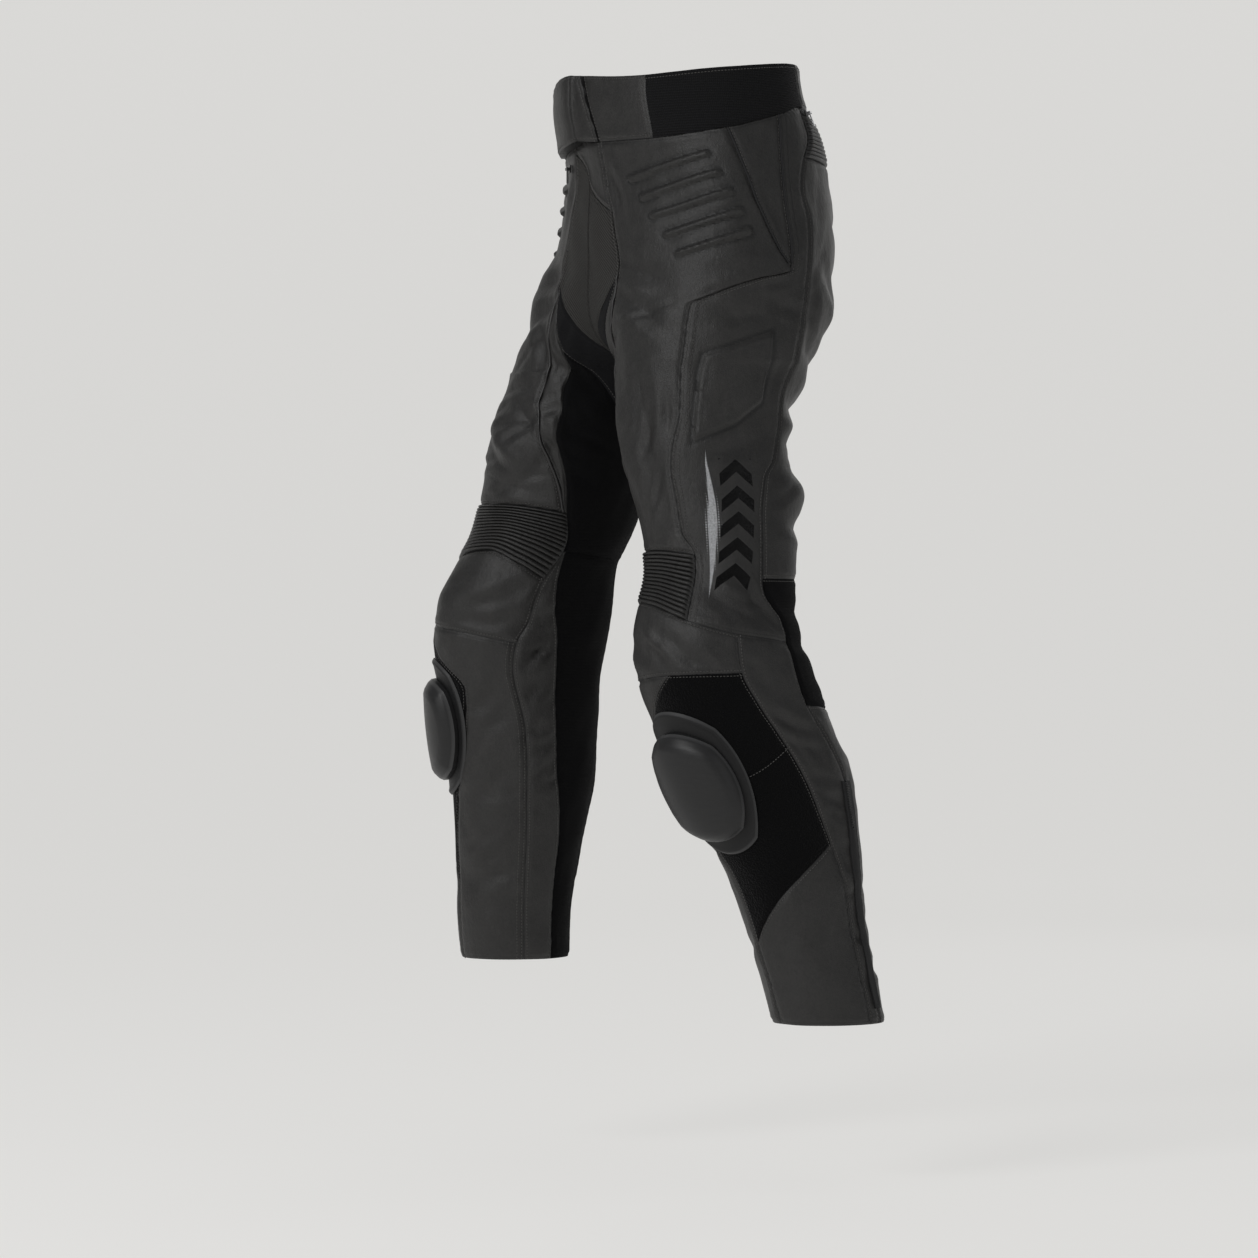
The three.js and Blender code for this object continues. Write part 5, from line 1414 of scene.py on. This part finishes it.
def beside_edge(panel, edge, offset, start=0.0, end=1.0):
    distance = {"left": panel.from_left, "right": panel.from_right,
                "top": panel.from_top, "bottom": panel.from_bottom}[edge]
    outer = panel.outer
    normal = panel.normal
    if edge in ("top", "bottom"):
        distance = distance.T
        outer = outer.swapaxes(0, 1)
        normal = normal.swapaxes(0, 1)
    if edge in ("right", "bottom"):
        distance = distance[:, ::-1]
        outer = outer[:, ::-1]
        normal = normal[:, ::-1]
    count = len(distance)
    rows = [i for i in range(count) if start <= i / (count - 1) <= end
            and distance[i, -1] > ROOM_BESIDE_LINE * offset]
    line = []
    out = []
    for i in rows:
        line.append([np.interp(offset, distance[i], outer[i, :, k]) for k in range(3)])
        out.append([np.interp(offset, distance[i], normal[i, :, k]) for k in range(3)])
    return np.array(line), np.array(out)


# Many copies of one small shape, each turned along its line and standing on its normal
def scatter(name, template, faces, placed, material):
    vertices = []
    for line, out in placed:
        if len(line) < 2:
            continue
        ahead = unit(np.gradient(line, axis=0))
        beside = unit(np.cross(out, ahead))
        up = np.cross(ahead, beside)
        basis = np.stack([ahead, beside, up], -1)
        vertices.append(line[:, None] + np.einsum("nij,vj->nvi", basis, template))
    vertices = np.concatenate(vertices)
    copies = len(vertices)
    shifted = faces[None] + (np.arange(copies) * len(template))[:, None, None]
    obj = make_mesh(name, vertices.reshape(-1, 3), shifted.reshape(-1, faces.shape[1]))
    obj.data.materials.append(material)
    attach(obj, BODY)


STITCH_PITCH = 3.4
STITCH_LENGTH = 2.4
STITCH_RADIUS = 0.45
STITCH_SIDES = 4
STITCH_RISE = 0.2
# Rings of a stitch: share of its length, of its radius, and drop in radii
STITCH_RINGS = [(-0.5, 0.15, -0.25), (-0.3, 0.95, 0.0), (0.3, 0.95, 0.0), (0.5, 0.15, -0.25)]


# Faces between rings of the same number of points
def ring_faces(rings, sides):
    return np.array([[r * sides + k, r * sides + (k + 1) % sides,
                      (r + 1) * sides + (k + 1) % sides, (r + 1) * sides + k]
                     for r in range(rings - 1) for k in range(sides)])


# One stitch: a short fat thread sunk a little at both ends
def stitch_shape():
    turn = np.linspace(0, 2 * math.pi, STITCH_SIDES, endpoint=False)
    points = [[along * STITCH_LENGTH, size * STITCH_RADIUS * math.cos(a),
               size * STITCH_RADIUS * math.sin(a) + drop * STITCH_RADIUS + STITCH_RISE]
              for along, size, drop in STITCH_RINGS for a in turn]
    return np.array(points), ring_faces(len(STITCH_RINGS), STITCH_SIDES)


# Rows of stitching: panel, edge, offsets from the edge, and the shares where they start and end
LEG_STITCHING = [
    ["side", "left", (3.0, SECOND_ROW), 0.28, 1.0],
    ["side", "right", (3.4,), 0.0, 1.0],
    ["hip", "left", (3.2,), 0.0, 1.0],
    ["pocket", "left", (2.6,), 0.0, 0.95],
    ["pocket", "right", (2.6,), 0.0, 0.95],
    ["seat", "left", (3.4,), 0.0, 1.0],
    ["seat", "bottom", (3.0,), 0.0, 1.0],
    ["seat", "right", (3.0,), 0.0, 0.6],
    ["gusset", "right", (2.8,), 0.0, 1.0],
    ["gusset", "bottom", (2.8,), 0.0, 1.0],
    ["knee", "top", (3.0,), 0.0, 1.0],
    ["knee", "bottom", (3.0,), 0.0, 1.0],
    ["knee", "left", (3.0,), 0.0, 1.0],
    ["calf_outer", "left", (3.0,), 0.0, 1.0],
    ["calf_outer", "right", (3.0,), 0.0, 1.0],
    ["shin", "top", (3.0,), 0.0, 1.0],
    ["shin_inner", "left", (3.0, 8.0), 0.0, 1.0],
    ["shin_inner", "right", (3.0,), 0.0, 1.0],
    ["calf_inner", "right", (3.0,), 0.05, 1.0],
    ["calf_inner", "left", (3.0,), 0.05, 1.0],
    ["calf_back", "left", (3.0,), 0.0, 1.0],
    ["calf_back", "right", (3.0,), 0.0, 1.0],
    ["calf_back", "top", (3.0,), 0.0, 1.0],
    ["loop_upper", "left", (2.6,), 0.0, 1.0],
    ["loop_upper", "top", (2.6,), 0.0, 1.0],
    ["loop_upper", "right", (2.6,), 0.0, 1.0],
    ["loop_lower", "top", (2.6,), 0.0, 1.0],
    ["loop_lower", "left", (2.6,), 0.0, 1.0],
    ["loop_lower", "right", (2.6,), 0.0, 1.0],
    ["knee_back", "top", (2.8,), 0.0, 1.0],
    ["hip", "bottom", (3.0,), 0.0, 1.0],
]
WAIST_STITCHING = [
    ["waistband_right_front", "left", (3.5,), 0.0, 1.0],
    ["waistband_right_front", "top", (3.0,), 0.0, 1.0],
    ["waistband_right_front", "bottom", (3.5,), 0.0, 1.0],
    ["waistband_right_front", "right", (3.0,), 0.0, 1.0],
    ["waistband_left_front", "left", (3.0,), 0.0, 1.0],
    ["waistband_left_front", "top", (3.0,), 0.0, 1.0],
    ["waistband_left_front", "bottom", (3.5,), 0.0, 1.0],
    ["waistband_left_front", "right", (3.0, 7.0), 0.0, 1.0],
    ["waistband_elastic_left", "top", (4.0,), 0.0, 1.0],
    ["waistband_elastic_right", "top", (4.0,), 0.0, 1.0],
    ["waistband_back", "top", (3.0,), 0.0, 1.0],
    ["waistband_back", "bottom", (3.5,), 0.0, 1.0],
    ["fly_leather", "bottom", (3.0, 7.0), 0.0, 1.0],
    ["fly_leather", "right", (3.0,), 0.0, 1.0],
    ["fly_panel_left", "right", (2.6,), 0.0, 1.0],
    ["fly_panel_right", "left", (2.6,), 0.0, 1.0],
]


def stitching(name, rows, suffix):
    template, faces = stitch_shape()
    placed = []
    for panel_name, edge, offsets, start, end in rows:
        panel = PANELS[panel_name + suffix]
        for offset in offsets:
            line, out = beside_edge(panel, edge, offset, start, end)
            if len(line) > 2:
                placed.append(even_steps(line, out, STITCH_PITCH))
    scatter(name, template, faces, placed, MATERIALS["thread"])


for side_name in SIDES:
    stitching(f"stitching_{side_name}", LEG_STITCHING, f"_{side_name}")
stitching("stitching_waist", WAIST_STITCHING, "")


TUBE_SIDES = 8


# A tube along a line
def tube(name, line, out, radius, material):
    ahead = unit(np.gradient(line, axis=0))
    beside = unit(np.cross(out, ahead))
    up = np.cross(ahead, beside)
    turn = np.linspace(0, 2 * math.pi, TUBE_SIDES, endpoint=False)
    ring = (beside[:, None] * np.cos(turn)[None, :, None]
            + up[:, None] * np.sin(turn)[None, :, None]) * radius
    vertices = (line[:, None] + ring).reshape(-1, 3)
    obj = make_mesh(name, vertices, ring_faces(len(line), TUBE_SIDES))
    obj.data.materials.append(material)
    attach(obj, BODY)


# Piping along the inner thigh seam, a little uneven, and welts along both pocket edges
PIPING_RADIUS = 1.5
PIPING_WANDER = 0.5
WELT_RADIUS = 1.3

for side_name in SIDES:
    strip = PANELS[f"inner_strip_{side_name}"]
    piping_line, piping_out = beside_edge(strip, "right", 0.4)
    wander = PIPING_WANDER * np.sin(np.linspace(0, 60, len(piping_line)))
    tube(f"piping_{side_name}", piping_line + piping_out * (0.9 + wander)[:, None],
         piping_out, PIPING_RADIUS, MATERIALS["piping"])

for side_name in SIDES:
    pocket = PANELS[f"pocket_{side_name}"]
    for edge in ("left", "right"):
        welt, welt_out = beside_edge(pocket, edge, 0.3, 0.02, 0.97)
        tube(f"pocket_welt_{edge}_{side_name}", welt + welt_out * 0.8, welt_out, WELT_RADIUS,
             MATERIALS["tape"])

# Zips: tape, and teeth from both sides that mesh in its middle
ZIP_PITCH = 2.6
TOOTH_HALF_SIZE = (0.589, 2.1, 0.9)
TOOTH_TAPER = 0.72
TOOTH_SWAY = 1.1


def teeth(name, line, out):
    corners = np.array([[x, y, z] for x in (-1, 1) for y in (-1, 1) for z in (0, 1)], float)
    faces = np.array([[0, 1, 3, 2], [4, 6, 7, 5], [0, 4, 5, 1], [2, 3, 7, 6], [0, 2, 6, 4],
                      [1, 5, 7, 3]])
    taper = np.where(corners[:, 2:] > 0.5, TOOTH_TAPER, 1.0)
    shape = corners * TOOTH_HALF_SIZE * np.concatenate([taper, taper, np.ones_like(taper)], 1)
    points, normals = even_steps(line, out, ZIP_PITCH / 2)
    ahead = unit(np.gradient(points, axis=0))
    beside = unit(np.cross(normals, ahead))
    sway = np.where(np.arange(len(points)) % 2 == 0, TOOTH_SWAY, -TOOTH_SWAY)[:, None]
    scatter(name, shape, faces, [(points + beside * sway, normals)], MATERIALS["teeth"])


CALF_ZIP = {"top": -697.0, "bottom": -925.0, "half": 0.019, "lift": 1.75, "wall": 1.4}


def calf_zip(side):
    top = CALF_ZIP["top"]
    bottom = CALF_ZIP["bottom"]
    half = CALF_ZIP["half"]
    tape = Panel(f"calf_zip_{side}", side, down(OUTER_BACK_LINE, top, bottom, -half),
                 down(OUTER_BACK_LINE, top, bottom, half), level(OUTER_BACK_LINE, top, half),
                 level(OUTER_BACK_LINE, bottom, half))
    tape.shape(roll=0.3, pucker=0.2, lift=CALF_ZIP["lift"], wall=CALF_ZIP["wall"])
    show_panel(tape, MATERIALS["tape"])
    # As near the middle of the tape as a line beside its edge may run
    chain, chain_out = beside_edge(tape, "left", tape.width / 2.6)
    teeth(f"calf_zip_teeth_{side}", chain, chain_out)


for side_name in SIDES:
    calf_zip(side_name)
zip_line, zip_out = beside_edge(PANELS["connection_zip_tape"], "top", 3.6)
teeth("connection_zip_teeth", zip_line, zip_out)

# Zip sliders and pull tabs stay the solids, with rounded edges
METAL_ROUNDING = 0.0002
for pull, metal in (("fly_zip", "dark_metal"), ("connection_zip", "metal")):
    for part in ("slider", "pull"):
        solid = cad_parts[f"{pull}_{part}"]
        solid.data.materials.clear()
        solid.data.materials.append(MATERIALS[metal])
        rounding = solid.modifiers.new("rounding", "BEVEL")
        rounding.width = METAL_ROUNDING
        rounding.segments = 2
        rounding.limit_method = "ANGLE"


# Floor and backdrop in one sweep, with soft light
SWEEP_WIDTH = 16.0
SWEEP_DEPTH = 5.0
SWEEP_RADIUS = 2.2
SWEEP_FRONT = 6.5
SWEEP_HEIGHT = 9.0
SWEEP_STEPS = 24
PAPER = colour(0.30, 0.298, 0.294)
PAPER_GLOW = colour(0.80, 0.793, 0.775)
PAPER_GLOW_STRENGTH = 0.70
SKY = colour(0.86, 0.87, 0.88)
SKY_STRENGTH = 0.24
# Area lights: name, place, target, width and height, power in watts
LIGHTS = [
    ["key", (1.6, -3.6, 1.6), (0, 0, -0.45), (1.8, 2.4), 88],
    ["fill", (4.2, 1.8, 0.8), (0, 0, -0.5), (2.6, 2.6), 14],
    ["top", (0.3, 0.2, 2.6), (0, 0, -0.5), (3.0, 3.0), 8],
    ["rim", (-2.0, 2.4, 0.8), (0, 0, -0.4), (1.2, 2.4), 4],
]


def make_stage():
    turn = np.linspace(0, math.pi / 2, SWEEP_STEPS)
    profile = [(SWEEP_FRONT, 0.0)] + [(-SWEEP_DEPTH - SWEEP_RADIUS * math.sin(a),
                               SWEEP_RADIUS * (1 - math.cos(a))) for a in turn]
    profile.append((profile[-1][0], SWEEP_HEIGHT))
    azimuth = math.radians(CAMERA_AZIMUTH)
    toward = np.array([math.sin(azimuth), -math.cos(azimuth), 0.0])
    sideways = np.array([math.cos(azimuth), math.sin(azimuth), 0.0])
    vertices = []
    for away, height in profile:
        for across_way in (-SWEEP_WIDTH / 2, SWEEP_WIDTH / 2):
            point = toward * away + sideways * across_way
            vertices.append([point[0], point[1], FLOOR_HEIGHT + height])
    faces = [[2 * i, 2 * i + 1, 2 * i + 3, 2 * i + 2] for i in range(len(profile) - 1)]
    sweep = make_mesh("floor", np.array(vertices) / MM, np.array(faces))
    g = Graph("pale_paper")
    sweep.data.materials.append(g.plain_cover(
        Base_Color=PAPER, Roughness=0.9, Specular_IOR_Level=0.0, Emission_Color=PAPER_GLOW,
        Emission_Strength=PAPER_GLOW_STRENGTH))


def add_light(name, place, target, size, power):
    data = bpy.data.lights.new(name, "AREA")
    data.shape = "RECTANGLE"
    data.size = size[0]
    data.size_y = size[1]
    data.energy = power
    light = bpy.data.objects.new(name, data)
    light.location = place
    way = Vector(target) - Vector(place)
    light.rotation_euler = way.to_track_quat("-Z", "Y").to_euler()
    bpy.context.scene.collection.objects.link(light)


make_stage()
for light_row in LIGHTS:
    add_light(*light_row)
world = bpy.data.worlds.new("studio")
world.use_nodes = True
background = world.node_tree.nodes["Background"]
background.inputs["Color"].default_value = SKY
background.inputs["Strength"].default_value = SKY_STRENGTH
bpy.context.scene.world = world
bpy.context.scene.view_settings.view_transform = "Standard"
